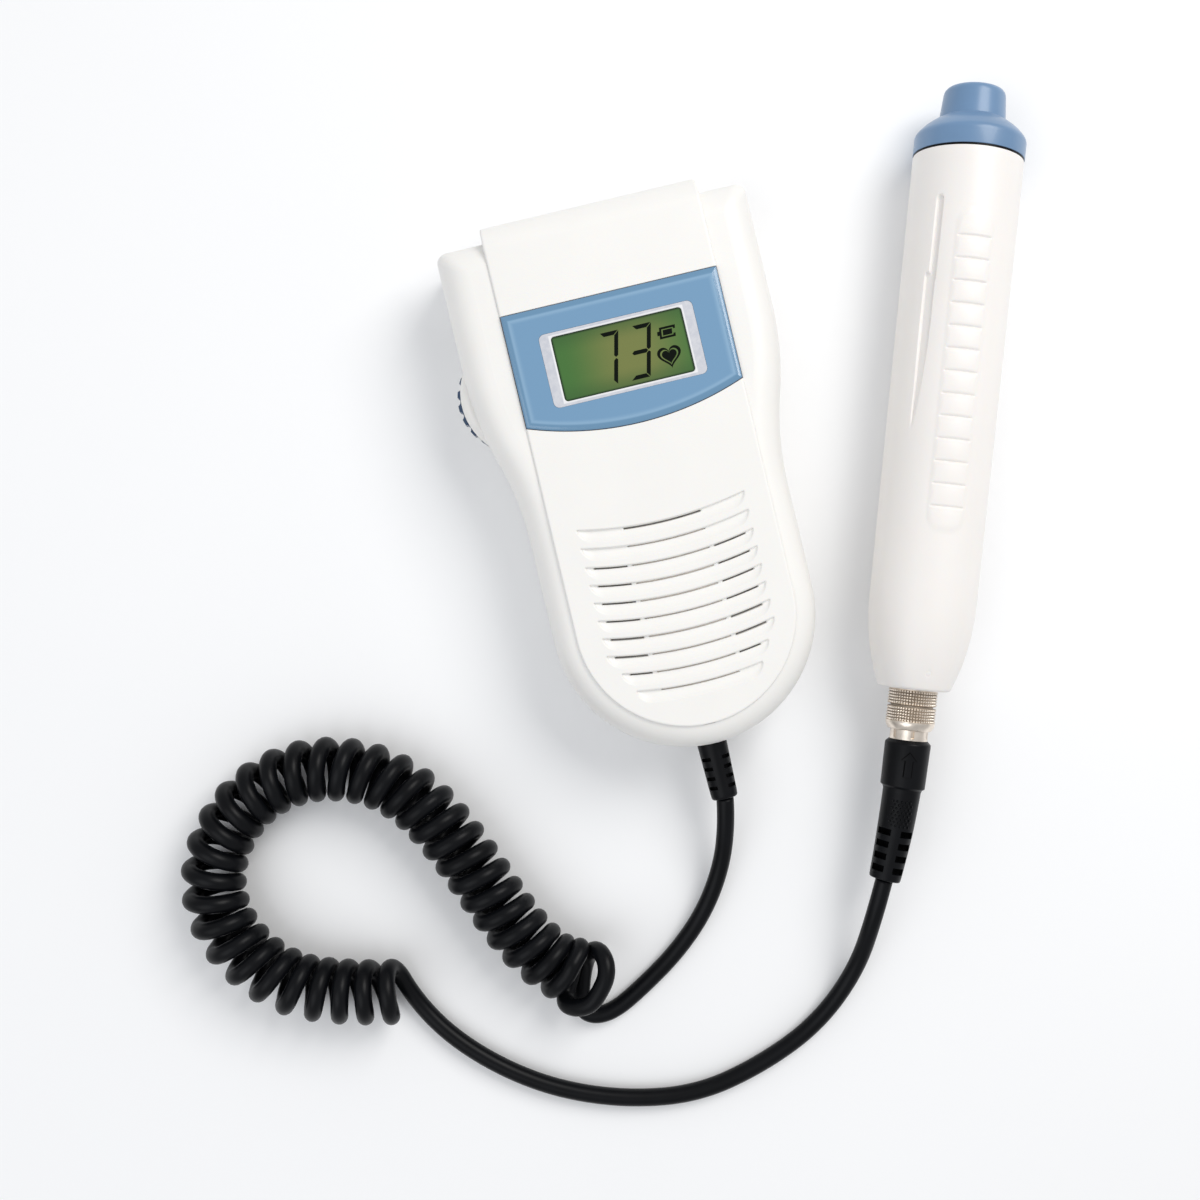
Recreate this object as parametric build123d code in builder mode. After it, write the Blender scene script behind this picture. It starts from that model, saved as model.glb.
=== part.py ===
from build123d import *
import os
from math import asin, atan, cos, degrees, pi, radians, sin, sqrt, tan

# Pocket vascular doppler: a hand-held main unit with display and loudspeaker,
# a pencil probe, and the curly cord and plug that join them.
# Millimetres. The origin is on the flat back of the main unit, at the middle
# of its length. +Y points to the display end, +Z out of the front.

os.makedirs("parts", exist_ok=True)

# General clearances
fit_gap = 0.15
slide_gap = 0.2
running_gap = 0.05
seat_gap = 0.02
overcut = 1.0

# Main unit, overall
case_length = 138.0
case_top_half = 39.6
case_foot_radius = 33.0
shoulder_in = 21.0
waist_straight = 26.0
flare_top_in = 35.0
waist_share = 0.5
shoulder_drop = 3.5
corner_radius = 2.5
corner_least = 1.0
wall = 2.2
parting_z = 15.0
strip_z = 28.2
rim_radius = 7.5
back_radius = 4.0

# Front panel band
band_half = 27.2
band_proud = 0.7
panel_thick = 3.0
band_end_wall = 2.0
band_bend = 7.0
band_inner_bend = 3.0
band_edge = 0.6
case_floor_under_panel = 1.9

# Display
window_top_in = 23.6
window_side = 28.0
window_sag = 4.9
window_thick = 2.0
window_proud = 0.4
window_bevel = 0.7
lcd_in = 39.2
lcd_width = 33.4
lcd_height = 16.8
lcd_side_border = 2.6
lcd_top_border = 0.8
lcd_corner = 1.6
lcd_frame_thick = 1.2
lcd_ledge = 1.2
lcd_thick = 2.2

# Louvres over the loudspeaker
louvre_count = 10
louvre_pitch = 4.47
louvre_first_in = 56.5
louvre_radius = 97.5
louvre_half = 21.5
louvre_ninth_half = 18.8
louvre_tenth_half = 16.2
louvre_depth = 1.0
louvre_fade = 3.0
slit_width = 0.8
slit_centre_half = 9.8
slit_rib = 1.2
slit_margin = 1.5

# Loudspeaker
speaker_radius = 20.0
speaker_rim = 2.2
speaker_rim_height = 1.6
speaker_depth = 8.0
speaker_wall = 0.8
coil_former_radius = 7.0
cone_dip = 5.0
cone_cap_rise = 1.8
cone_thick = 0.5
magnet_radius = 11.0
magnet_height = 4.0
magnet_chamfer = 0.6

# Battery bay and cover
bay_x = 3.0
bay_play = 0.5
bay_top_in = 7.2
cell_radius = 7.1
cell_length = 50.0
cell_nub_radius = 2.7
cell_nub_height = 1.2
bay_wall = 1.2
contact_room = 2.6
contact_width = 9.0
contact_thick = 0.4
contact_tab_width = 3.4
contact_tab_height = 5.0
contact_spring_taper = 30
cover_half = 21.0
cover_foot_lap = 2.4
cover_thick = 2.2
cover_lip = 1.1
cover_tongue = 1.2
rail_width = 2.6
cover_ribs = 5
cover_rib_in = 14.0
cover_rib_pitch = 2.4
cover_rib_length = 18.0
cover_rib_width = 1.1
cover_rib_depth = 0.5

# Volume wheel
wheel_side_in = 10.0
wheel_in = 41.4
wheel_radius = 13.3
wheel_thick = 4.0
wheel_slot_gap = 0.5
guard_in = 3.7
guard_radius = 16.0
guard_height = 6.5
guard_round = 2.2
wheel_scallops = 23
scallop_radius = 1.15
scallop_offset = 0.46
wheel_rim = 2.6
wheel_hub_radius = 4.5
wheel_web = 1.6
wheel_shaft_radius = 1.5
shaft_proud = 0.4
pot_radius = 6.0
pot_height = 4.6
pot_gap = 0.6
pot_board_thick = 1.2
pot_board_side = 12.4
post_radius = 1.4
post_in = 2.0

# Main circuit board
board_thick = 1.6
board_half = 24.0
board_top_in = 4.5
board_length = 57.0
board_corner = 1.5
board_notch = 3.0
board_pad = 0.15
chip_x = 10.0
chip_row = 8.5
large_chip = (12.0, 9.0)
small_chip = (7.0, 5.0)
chip_height = 1.6

# Headphone socket, between the wheel and the shoulder
jack_z = 9.0
jack_sink = 0.5
jack_bore_radius = 1.8
jack_bore_depth = 12.4
jack_nose_radius = 3.6
jack_depth = 13.5
jack_shelf = 3.1
jack_body_width = 8.0
jack_body_height = 8.0
jack_corner = 0.8
jack_post_in = 1.0

# Case screws
screw_side_in = 8.4
screw_top_in = 9.0
screw_foot_radius = 25.5
screw_foot_turn = 40.25
screw_radius = 1.3
screw_head_radius = 2.4
screw_head_height = 1.8
screw_length = 14.0
screw_sink = 4.0
boss_radius = 3.4

# Cord and its strain relief on the unit
wire = 4.15
gland_z = 12.0
gland_radius = 3.85
gland_end_radius = 3.5
gland_length = 15.2
gland_flange_radius = 5.2
gland_flange_thick = 1.5
gland_flange_gap = 0.6
gland_round = 0.6
gland_rows = 4
gland_first_row = 4.0
gland_row_pitch = 2.9
gland_row_width = 1.2
relief_spine = 2.1
relief_core = 0.5
relief_side = 0.6

# Probe, along its own axis from the connector end
probe_x = 53.0
probe_y = -68.0
probe_turn = 19.3
probe_length = 135.0
probe_radius = 14.0
probe_waist_radius = 13.4
probe_waist_at = 22.0
probe_end_radius = 9.0
probe_wall = 1.8
probe_end_wall = 2.5
probe_end_round = 1.2
grip_roll = 12.6
grip_width = 10.2
grip_start = 37.5
grip_end = 121.2
grip_proud = 0.45
grip_first_groove = 115.7
grip_pitch = 5.8
grip_grooves = 13
grip_groove_radius = 0.75
grip_groove_depth = 0.5
grip_corner = 4.0
thumb_roll = -27.5
thumb_slot_width = 1.8
thumb_slot_start = 106.0
thumb_slot_end = 125.8
thumb_scoop_width = 2.6
thumb_scoop_foot = 65.0
thumb_overlap = 1.0
thumb_depth = 0.8

# Probe cap, with the sensing face at its tip
cap_radius = 14.15
cap_seam = 0.5
cap_ring = 4.6
cap_shoulder = 4.5
cap_shoulder_radius = 9.0
tip_radius = 8.25
tip_end_radius = 7.6
tip_length = 8.0
tip_dome = 0.9
tip_round = 1.8
cap_wall = 1.6
cap_spigot = 4.0
seal_inset = 0.2
tip_bore_radius = 6.0
tip_wall = 1.4
crystal_radius = 5.4
crystal_thick = 1.0
crystal_gap = 0.8
backing_length = 6.0
probe_board_width = 17.0
probe_board_length = 92.0
probe_board_start = 17.0
probe_board_thick = 1.6
probe_rib_height = 1.8
probe_rib_lap = 0.8

# Connector between probe and cord
ring_radius = 6.15
ring_length = 4.1
ring_knurls = 36
knurl_depth = 0.3
sleeve_gap = 0.1
sleeve_lip = 0.5
sleeve_lip_radius = 5.6
sleeve_length = 3.6
sleeve_nose = 2.2
sleeve_nose_radius = 5.25
neck_radius = 4.75
neck_length = 2.1
socket_radius = 5.0
socket_depth = 9.5
socket_bore_radius = 3.6
nut_radius = 6.8
nut_thick = 1.8
shell_grip = 6.0
plug_nose = 3.8
plug_insert_radius = 3.0
insert_depth = 3.0
pin_radius = 0.35
pin_count = 6
pin_circle = 1.9
pin_length = 5.5
pin_tail = 1.5
pin_play = 0.1

# Moulded plug behind the connector
head_radius = 5.9
head_length = 12.0
head_chamfer = 1.2
body_radius = 4.85
body_end_radius = 3.8
plug_length = 36.4
arrow_length = 5.6
arrow_width = 3.0
arrow_proud = 0.3
boot_first_row = 23.5
boot_row_pitch = 3.03
boot_row_width = 1.7
boot_rows = 4
boot_round = 0.6

# Curly cord and its two plain leads, lying on the table beside the unit
coil_radius = 6.1
coil_turns = 33.5
coil_sides = 6
coil_points = [
    (-44.8, -124.4, 8.4),
    (-49.6, -119.6, 8.6),
    (-54.8, -112.6, 8.6),
    (-61.1, -101.8, 8.6),
    (-65.6, -91.2, 8.6),
    (-70.2, -79.6, 8.6),
    (-77.6, -65.6, 8.6),
    (-88.6, -56.2, 8.6),
    (-104.0, -52.0, 8.6),
    (-120.0, -55.8, 8.6),
    (-132.0, -68.2, 8.6),
    (-134.9, -84.0, 8.6),
    (-127.6, -99.4, 8.6),
    (-113.6, -110.1, 8.6),
    (-95.4, -114.6, 8.6),
]
coil_start_point = (-38.6, -131.4, 2.4)
coil_start_way = (-0.86, -0.5, 0)
coil_end_point = (-87.4, -120.6, 2.4)
coil_end_way = (0.46, -0.89, 0)
unit_lead_bends = [(0, -92, 12), (-4.3, -104.3, 6.5), (-13.4, -114.9, 2.4)]
probe_lead_bends = [
    (24.5, -137, 8),
    (12, -149, 2.6),
    (-7, -158.8, 2.3),
    (-30, -161.6, 2.3),
    (-54, -155, 2.3),
    (-70, -144.5, 2.3),
]
bend_share = 0.45
lead_straight = 10.0
boot_straight = 12.0

# Worked-out places in the main unit
foot_y = -case_length / 2
top_y = case_length / 2
case_top_y = top_y - shoulder_drop
foot_centre_y = foot_y + case_foot_radius
shoulder_y = top_y - shoulder_in
flare_foot_y = foot_centre_y + waist_straight
flare_top_y = top_y - flare_top_in
band_mid_y = (top_y + shoulder_y) / 2
panel_z = strip_z + band_proud
panel_back_z = panel_z - panel_thick
seat_z = panel_back_z - seat_gap
cavity_z = seat_z - case_floor_under_panel
cell_offset = cell_radius + fit_gap
bay_half = cell_offset + cell_radius + bay_play
bay_length = cell_length + cell_nub_height + 2 * contact_room
bay_top_y = top_y - bay_top_in
bay_foot_y = bay_top_y - bay_length
cover_foot_y = bay_foot_y - cover_foot_lap
cell_z = cover_thick + 2 * fit_gap + cell_radius
bay_roof_z = cell_z + cell_radius + 2 * fit_gap
window_z = panel_z + window_proud
window_back_z = window_z - window_thick
window_top_y = top_y - window_top_in
window_side_y = window_top_y - window_side
lcd_y = top_y - lcd_in
lcd_frame_half_x = lcd_width / 2 + lcd_side_border
lcd_frame_half_y = lcd_height / 2 + lcd_top_border
louvre_first_y = foot_y + louvre_first_in
speaker_y = louvre_first_y - louvre_pitch * (louvre_count - 1) / 2
board_z = bay_roof_z + bay_wall + board_pad
channel_x = cover_half + cover_tongue + slide_gap
rail_x = channel_x + rail_width
shelf_z = cover_thick + slide_gap
shelf_top_z = shelf_z + bay_wall
board_top_y = case_top_y - board_top_in
board_foot_y = board_top_y - board_length
wheel_x = wheel_side_in - case_top_half
wheel_y = top_y - wheel_in
wheel_z = parting_z - wheel_thick / 2
pot_z = wheel_z - pot_gap - pot_height
pot_board_z = pot_z - pot_board_thick
jack_mouth_x = jack_sink - case_top_half
screw_tip_z = screw_sink + screw_head_height + screw_length
jack_mid_x = jack_mouth_x + (jack_shelf + jack_depth) / 2
lcd_frame_z = window_back_z - seat_gap - lcd_frame_thick
lcd_z = lcd_frame_z - seat_gap - lcd_thick
backlight_z = board_z + board_thick + seat_gap
speaker_top_z = cavity_z - seat_gap
cell_foot_y = bay_foot_y + contact_room
gland_flange_y = foot_y + wall + gland_flange_gap
gland_end_y = foot_y - gland_length
probe_z = cap_radius


def case_outline(inset):
    """Plan of the main unit: round foot, straight waist, flare and square shoulders."""
    radius = case_foot_radius - inset
    top_half = case_top_half - inset
    rise = flare_top_y - flare_foot_y
    turn = 2 * atan((case_top_half - case_foot_radius) / rise)
    both_radii = rise / sin(turn)
    lower = both_radii * waist_share + inset
    upper = both_radii * (1 - waist_share) - inset
    corner = max(corner_radius - inset, corner_least)
    top = case_top_y - inset
    with BuildSketch(mode=Mode.PRIVATE) as outline:
        with BuildLine():
            foot = CenterArc((0, foot_centre_y), radius, -90, 90)
            waist = Line(foot @ 1, (radius, flare_foot_y))
            hollow = JernArc(waist @ 1, (0, 1), lower, -degrees(turn))
            swell = JernArc(hollow @ 1, hollow % 1, upper, degrees(turn))
            side = Line(swell @ 1, (top_half, top - corner))
            bend = JernArc(side @ 1, (0, 1), corner, 90)
            Line(bend @ 1, (0, top))
            mirror(about=Plane.YZ)
        make_face()
    return outline.sketch


def band_outline(inset, top):
    """Plan of the raised band: straight sides and a half-round foot."""
    half = band_half - inset
    with BuildSketch(mode=Mode.PRIVATE) as outline:
        with BuildLine():
            foot = CenterArc((0, foot_centre_y), half, 180, 180)
            Polyline(foot @ 1, (half, top), (-half, top), foot @ 0)
        make_face()
    return outline.sketch


def wheel_room():
    """Room for the volume wheel, half in each shell."""
    with BuildPart() as room:
        with BuildSketch(Plane.XY.offset(wheel_z - wheel_slot_gap)):
            with Locations((wheel_x, wheel_y)):
                Circle(wheel_radius + wheel_slot_gap)
        extrude(amount=wheel_thick + 2 * wheel_slot_gap)
    return room.part


def wheel_guard(way):
    """Round swelling of the side wall over the volume wheel, up or down from the seam."""
    with BuildPart() as guard:
        with BuildSketch(Plane.XY.offset(parting_z)):
            with Locations((wheel_x + guard_in, wheel_y)):
                Circle(guard_radius)
        extrude(amount=way * guard_height)
        fillet(guard.edges().filter_by(GeomType.CIRCLE).sort_by(Axis.Z)[-1 if way > 0 else 0], guard_round)
    return guard.part


def gland_hole():
    """Hole at the foot for the strain relief, half in each shell."""
    with BuildPart() as hole:
        with BuildSketch(Plane.XZ.offset(-foot_y + wall)):
            with Locations((0, gland_z)):
                Circle(gland_radius + fit_gap)
        extrude(amount=-3 * wall)
    return hole.part


def jack_plane(depth):
    """Plane across the headphone socket, a depth in from its mouth."""
    return Plane(origin=(jack_mouth_x + depth, shoulder_y, jack_z), x_dir=(0, 1, 0), z_dir=(1, 0, 0))


def corner_places():
    """The four case screws, two at the shoulders and two in the round foot."""
    turn = radians(screw_foot_turn)
    foot = (screw_foot_radius * cos(turn), foot_centre_y - screw_foot_radius * sin(turn))
    places = []
    for x, y in ((case_top_half - screw_side_in, case_top_y - screw_top_in), foot):
        places += [(x, y), (-x, y)]
    return places


# Front shell: rim and side strips, with a seat for the band
with BuildPart() as front_shell:
    with BuildSketch(Plane.XY.offset(parting_z)):
        add(case_outline(0))
    extrude(amount=strip_z - parting_z)
    fillet(front_shell.edges().group_by(Axis.Z)[-1], rim_radius)
    add(wheel_guard(1))
    with BuildSketch(Plane.XY.offset(parting_z)):
        add(case_outline(wall))
    extrude(amount=cavity_z - parting_z, mode=Mode.SUBTRACT)
    with BuildSketch(Plane.XY.offset(parting_z)):
        with Locations(*corner_places()):
            Circle(boss_radius)
    extrude(amount=cavity_z - parting_z)
    with BuildSketch(Plane.XY.offset(seat_z)):
        add(band_outline(-fit_gap, top_y))
    extrude(amount=panel_z, mode=Mode.SUBTRACT)
    with BuildSketch(Plane.XY.offset(cavity_z)):
        with Locations((0, lcd_y)):
            Rectangle(2 * lcd_frame_half_x + 2 * fit_gap, 2 * lcd_frame_half_y + 2 * fit_gap)
        with Locations((0, speaker_y)):
            Circle(speaker_radius - speaker_rim)
    extrude(amount=panel_z, mode=Mode.SUBTRACT)
    with BuildSketch(Plane.XY.offset(parting_z)):
        with Locations(*corner_places()):
            Circle(screw_radius + seat_gap)
    extrude(amount=screw_tip_z + overcut - parting_z, mode=Mode.SUBTRACT)
    add(wheel_room(), mode=Mode.SUBTRACT)
    add(gland_hole(), mode=Mode.SUBTRACT)
front_shell.part.label = "front_shell"
export_step(front_shell.part, "parts/front_shell.step")


# Rear shell: flat back, cover opening with its rails, battery bay and posts
with BuildPart() as band_end:
    with BuildSketch():
        with Locations((0, band_mid_y)):
            Rectangle(2 * band_half, top_y - shoulder_y)
    extrude(amount=parting_z)
    fillet(band_end.edges().filter_by(Axis.X).group_by(Axis.Z)[0].sort_by(Axis.Y)[-1], back_radius)

with BuildPart() as rear_shell:
    with BuildSketch():
        add(case_outline(0))
    extrude(amount=parting_z)
    fillet(rear_shell.edges().group_by(Axis.Z)[0], back_radius)
    add(wheel_guard(-1))
    add(band_end.part)
    with BuildSketch(Plane.XY.offset(wall)):
        add(case_outline(wall))
        with Locations((0, band_mid_y - band_end_wall)):
            Rectangle(2 * (band_half - wall), top_y - shoulder_y)
    extrude(amount=parting_z, mode=Mode.SUBTRACT)
    # Rails beside the cover opening, a shelf over it, and the bay's walls
    with BuildSketch():
        with Locations((0, (cover_foot_y + top_y - band_end_wall) / 2)):
            Rectangle(2 * rail_x, top_y - band_end_wall - cover_foot_y + 2 * bay_wall)
    extrude(amount=shelf_top_z)
    with BuildSketch(Plane.XY.offset(shelf_z)):
        with Locations((bay_x, bay_foot_y + bay_length / 2)):
            Rectangle(2 * (bay_half + bay_wall), bay_length + 2 * bay_wall)
    extrude(amount=bay_roof_z + bay_wall - shelf_z)
    with BuildSketch():
        with Locations((bay_x, bay_foot_y + bay_length / 2)):
            Rectangle(2 * bay_half, bay_length)
    extrude(amount=bay_roof_z, mode=Mode.SUBTRACT)
    # Opening for the cover's plate, and the channels for its tongues
    with BuildSketch():
        with Locations((0, (cover_foot_y - fit_gap + case_length) / 2)):
            Rectangle(2 * (cover_half + slide_gap), case_length - cover_foot_y + fit_gap)
    extrude(amount=shelf_z, mode=Mode.SUBTRACT)
    with BuildSketch(Plane.XY.offset(cover_lip - slide_gap)):
        with Locations((0, (cover_foot_y - fit_gap + case_length) / 2)):
            Rectangle(2 * channel_x, case_length - cover_foot_y + fit_gap)
    extrude(amount=shelf_z - cover_lip + slide_gap, mode=Mode.SUBTRACT)
    with BuildSketch():
        with Locations((0, top_y)):
            Rectangle(2 * (cover_half + slide_gap), 2 * (band_end_wall + slide_gap))
    extrude(amount=parting_z, mode=Mode.SUBTRACT)
    # Screw bosses, posts and pads
    with BuildSketch():
        with Locations(*corner_places()):
            Circle(boss_radius)
    extrude(amount=parting_z)
    with BuildSketch():
        with Locations(*corner_places()):
            Circle(screw_radius + fit_gap)
    extrude(amount=parting_z, mode=Mode.SUBTRACT)
    with BuildSketch():
        with Locations(*corner_places()):
            Circle(screw_head_radius + fit_gap)
    extrude(amount=screw_sink + screw_head_height, mode=Mode.SUBTRACT)
    with BuildSketch(Plane.XY.offset(wall)):
        with Locations((wheel_x, wheel_y)):
            post_pitch = pot_board_side - 2 * post_in
            with GridLocations(post_pitch, post_pitch, 2, 2):
                Circle(post_radius)
        with Locations((jack_mid_x, shoulder_y)):
            Rectangle(jack_body_width - 2 * jack_post_in, jack_body_width - 2 * jack_post_in)
    extrude(amount=pot_board_z - seat_gap - wall)
    with BuildSketch(Plane.XY.offset(jack_z - jack_body_height / 2 - seat_gap)):
        with Locations((jack_mid_x, shoulder_y)):
            Rectangle(jack_body_width, jack_body_width)
    extrude(amount=parting_z, mode=Mode.SUBTRACT)
    with BuildSketch(jack_plane(-wall)):
        Circle(jack_nose_radius + fit_gap)
    extrude(amount=3 * wall, mode=Mode.SUBTRACT)
    add(wheel_room(), mode=Mode.SUBTRACT)
    add(gland_hole(), mode=Mode.SUBTRACT)
rear_shell.part.label = "rear_shell"
export_step(rear_shell.part, "parts/rear_shell.step")

# Battery cover: plate and end wall in one, with tongues along both sides
with BuildPart() as battery_cover:
    with BuildSketch():
        with Locations((0, (cover_foot_y + top_y) / 2)):
            Rectangle(2 * cover_half, top_y - cover_foot_y)
    extrude(amount=parting_z - fit_gap)
    fillet(battery_cover.edges().filter_by(Axis.X).group_by(Axis.Z)[0].sort_by(Axis.Y)[-1], back_radius)
    with BuildSketch(Plane.XY.offset(cover_thick)):
        with Locations((0, cover_foot_y + (top_y - cover_foot_y - 2 * band_end_wall) / 2)):
            Rectangle(3 * cover_half, top_y - cover_foot_y)
    extrude(amount=parting_z, mode=Mode.SUBTRACT)
    with BuildSketch(Plane.XY.offset(cover_lip)):
        with Locations((0, cover_foot_y + (top_y - band_end_wall - cover_foot_y) / 2)):
            Rectangle(2 * (cover_half + cover_tongue), top_y - band_end_wall - cover_foot_y)
    extrude(amount=cover_thick - cover_lip)
    # Thumb ribs near the foot end
    with BuildSketch(Plane.XY):
        with Locations((0, cover_foot_y + cover_rib_in)):
            with GridLocations(0, cover_rib_pitch, 1, cover_ribs):
                SlotOverall(cover_rib_length, cover_rib_width)
    extrude(amount=cover_rib_depth, mode=Mode.SUBTRACT)
battery_cover.part.label = "battery_cover"
export_step(battery_cover.part, "parts/battery_cover.step")

# Front panel: the band over the front and the display end, with its louvres
with BuildPart() as band_core:
    with BuildSketch(Plane.YZ):
        with Locations((top_y - band_end_wall - case_length, panel_back_z / 2 - case_length / 2)):
            Rectangle(2 * case_length, panel_back_z + case_length)
    extrude(amount=case_top_half, both=True)
    inner_bend = band_core.edges().filter_by(Axis.X).group_by(Axis.Z)[-1].sort_by(Axis.Y)[-1]
    fillet(inner_bend, band_inner_bend)


def window_outline(gap):
    """Plan of the display window: straight top and sides, a sagging foot."""
    half = band_half + gap
    with BuildSketch() as outline:
        with BuildLine():
            foot = ThreePointArc(
                (-half, window_side_y - gap),
                (0, window_side_y - window_sag - gap),
                (half, window_side_y - gap),
            )
            Polyline(foot @ 1, (half, window_top_y + gap), (-half, window_top_y + gap), foot @ 0)
        make_face()
    return outline.sketch


def louvre_half_span(row):
    """Half the width of a louvre: the last two rows follow the round foot."""
    if row == louvre_count - 1:
        return louvre_tenth_half
    if row == louvre_count - 2:
        return louvre_ninth_half
    return louvre_half


def louvre_slits(row):
    """Open stretches of a louvre, each from and to a distance beside the axis."""
    inner = slit_centre_half + slit_rib
    outer = louvre_half_span(row) - slit_margin
    stretches = [(-slit_centre_half, slit_centre_half)]
    if 1 < row < louvre_count - 1:
        stretches += [(-outer, -inner), (inner, outer)]
    return stretches


def curved_cut(row, start, end, profile):
    """A profile of (down from the louvre line, height) points carried along its arc."""
    line_y = louvre_first_y - louvre_pitch * row
    first = asin(start / louvre_radius)
    swing = asin(end / louvre_radius) - first
    place = Plane(
        origin=(0, line_y + louvre_radius, 0),
        x_dir=(sin(first), -cos(first), 0),
        z_dir=(-cos(first), -sin(first), 0),
    )
    with BuildPart() as cut:
        with BuildSketch(place):
            with BuildLine():
                Polyline(*[(louvre_radius + down, height) for down, height in profile], close=True)
            make_face()
        revolve(axis=Axis((0, line_y + louvre_radius, 0), (0, 0, 1)), revolution_arc=degrees(swing))
    return cut.part


cutter_z = panel_z + overcut
louvre_scoop = [(0, cutter_z), (0, panel_z - louvre_depth), (louvre_fade, panel_z), (louvre_fade, cutter_z)]
louvre_slit = [(0, 0), (slit_width, 0), (slit_width, cutter_z), (0, cutter_z)]

with BuildPart() as front_panel:
    with BuildSketch(Plane.XY.offset(parting_z)):
        add(band_outline(0, top_y))
    extrude(amount=panel_z - parting_z)
    fillet(front_panel.edges().filter_by(Axis.X).group_by(Axis.Z)[-1].sort_by(Axis.Y)[-1], band_bend)
    fillet(front_panel.edges().group_by(Axis.Z)[-1], band_edge)
    add(band_core.part, mode=Mode.SUBTRACT)
    extrude(
        Plane.XY.offset(window_back_z - seat_gap) * window_outline(fit_gap),
        amount=window_thick + overcut,
        mode=Mode.SUBTRACT,
    )
    with BuildSketch(Plane.XY.offset(parting_z)):
        with Locations((0, lcd_y)):
            Rectangle(2 * lcd_frame_half_x + 2 * fit_gap, 2 * lcd_frame_half_y + 2 * fit_gap)
    extrude(amount=panel_z, mode=Mode.SUBTRACT)
    for row in range(louvre_count):
        reach = louvre_half_span(row)
        add(curved_cut(row, -reach, reach, louvre_scoop), mode=Mode.SUBTRACT)
        for start, end in louvre_slits(row):
            add(curved_cut(row, start, end, louvre_slit), mode=Mode.SUBTRACT)
front_panel.part.label = "front_panel"
export_step(front_panel.part, "parts/front_panel.step")

# Display: bevelled window, frame, glass and light box
with BuildPart() as display_window:
    extrude(Plane.XY.offset(window_back_z) * window_outline(0), amount=window_thick)
    chamfer(display_window.edges().group_by(Axis.Z)[-1], window_bevel)
display_window.part.label = "display_window"
export_step(display_window.part, "parts/display_window.step")

with BuildPart() as lcd_frame:
    with BuildSketch(Plane.XY.offset(lcd_frame_z)):
        with Locations((0, lcd_y)):
            RectangleRounded(2 * lcd_frame_half_x, 2 * lcd_frame_half_y, lcd_corner)
            RectangleRounded(lcd_width, lcd_height, lcd_corner / 2, mode=Mode.SUBTRACT)
    extrude(amount=lcd_frame_thick)
lcd_frame.part.label = "lcd_frame"
export_step(lcd_frame.part, "parts/lcd_frame.step")

with BuildPart() as lcd_panel:
    with BuildSketch(Plane.XY.offset(lcd_z)):
        with Locations((0, lcd_y)):
            Rectangle(lcd_width + 2 * lcd_ledge, lcd_height + lcd_ledge)
    extrude(amount=lcd_thick)
lcd_panel.part.label = "lcd_panel"
export_step(lcd_panel.part, "parts/lcd_panel.step")

with BuildPart() as backlight:
    with BuildSketch(Plane.XY.offset(backlight_z)):
        with Locations((0, lcd_y)):
            Rectangle(lcd_width + 2 * lcd_ledge, lcd_height + lcd_ledge)
    extrude(amount=lcd_z - seat_gap - backlight_z)
    chamfer(backlight.edges().filter_by(Axis.Z), lcd_ledge / 2)
backlight.part.label = "backlight"
export_step(backlight.part, "parts/backlight.step")

# Main circuit board, notched round the volume wheel's hub, and its chips
with BuildPart() as main_board:
    with BuildSketch(Plane.XY.offset(board_z)):
        with Locations((0, (board_foot_y + board_top_y) / 2)):
            RectangleRounded(2 * board_half, board_length, board_corner)
        with Locations((wheel_x, wheel_y)):
            Circle(wheel_hub_radius + board_notch, mode=Mode.SUBTRACT)
    extrude(amount=board_thick)
main_board.part.label = "main_board"
export_step(main_board.part, "parts/main_board.step")

with BuildPart() as board_chips:
    with BuildSketch(Plane.XY.offset(board_z + board_thick)):
        with Locations((-chip_x, board_top_y - chip_row), (chip_x, board_foot_y + chip_row)):
            Rectangle(*large_chip)
        with Locations((chip_x, board_top_y - chip_row), (-chip_x, board_foot_y + chip_row)):
            Rectangle(*small_chip)
    extrude(amount=chip_height)
board_chips.part.label = "board_chips"
export_step(board_chips.part, "parts/board_chips.step")

# Loudspeaker behind the louvres
speaker_axis = Axis((0, speaker_y, 0), (0, 0, 1))
speaker_plane = Plane(origin=(0, speaker_y, speaker_top_z), x_dir=(1, 0, 0), z_dir=(0, -1, 0))
rim_inner = speaker_radius - speaker_rim
with BuildPart() as speaker_frame:
    with BuildSketch(speaker_plane):
        with BuildLine():
            Polyline(
                (speaker_radius, 0),
                (speaker_radius, -speaker_rim_height),
                (rim_inner + speaker_wall, -speaker_rim_height),
                (magnet_radius + speaker_wall, -speaker_depth),
                (coil_former_radius, -speaker_depth),
                (coil_former_radius, -speaker_depth + speaker_wall),
                (magnet_radius, -speaker_depth + speaker_wall),
                (rim_inner, -speaker_rim_height),
                (rim_inner, 0),
                close=True,
            )
        make_face()
    revolve(axis=speaker_axis)
speaker_frame.part.label = "speaker_frame"
export_step(speaker_frame.part, "parts/speaker_frame.step")

with BuildPart() as speaker_cone:
    with BuildSketch(speaker_plane):
        with BuildLine():
            rim_z = -speaker_rim_height / 2
            foot_z = rim_z - cone_dip
            cap_z = foot_z + cone_cap_rise
            rim = rim_inner - running_gap
            dome = TangentArc((0, cap_z), (coil_former_radius, foot_z), tangent=(1, 0))
            under_rim = (coil_former_radius, foot_z - cone_thick)
            under = TangentArc((0, cap_z - cone_thick), under_rim, tangent=(1, 0))
            Polyline(dome @ 1, (rim, rim_z), (rim, rim_z - cone_thick), under @ 1)
            Line(dome @ 0, under @ 0)
        make_face()
    revolve(axis=speaker_axis)
speaker_cone.part.label = "speaker_cone"
export_step(speaker_cone.part, "parts/speaker_cone.step")

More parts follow.
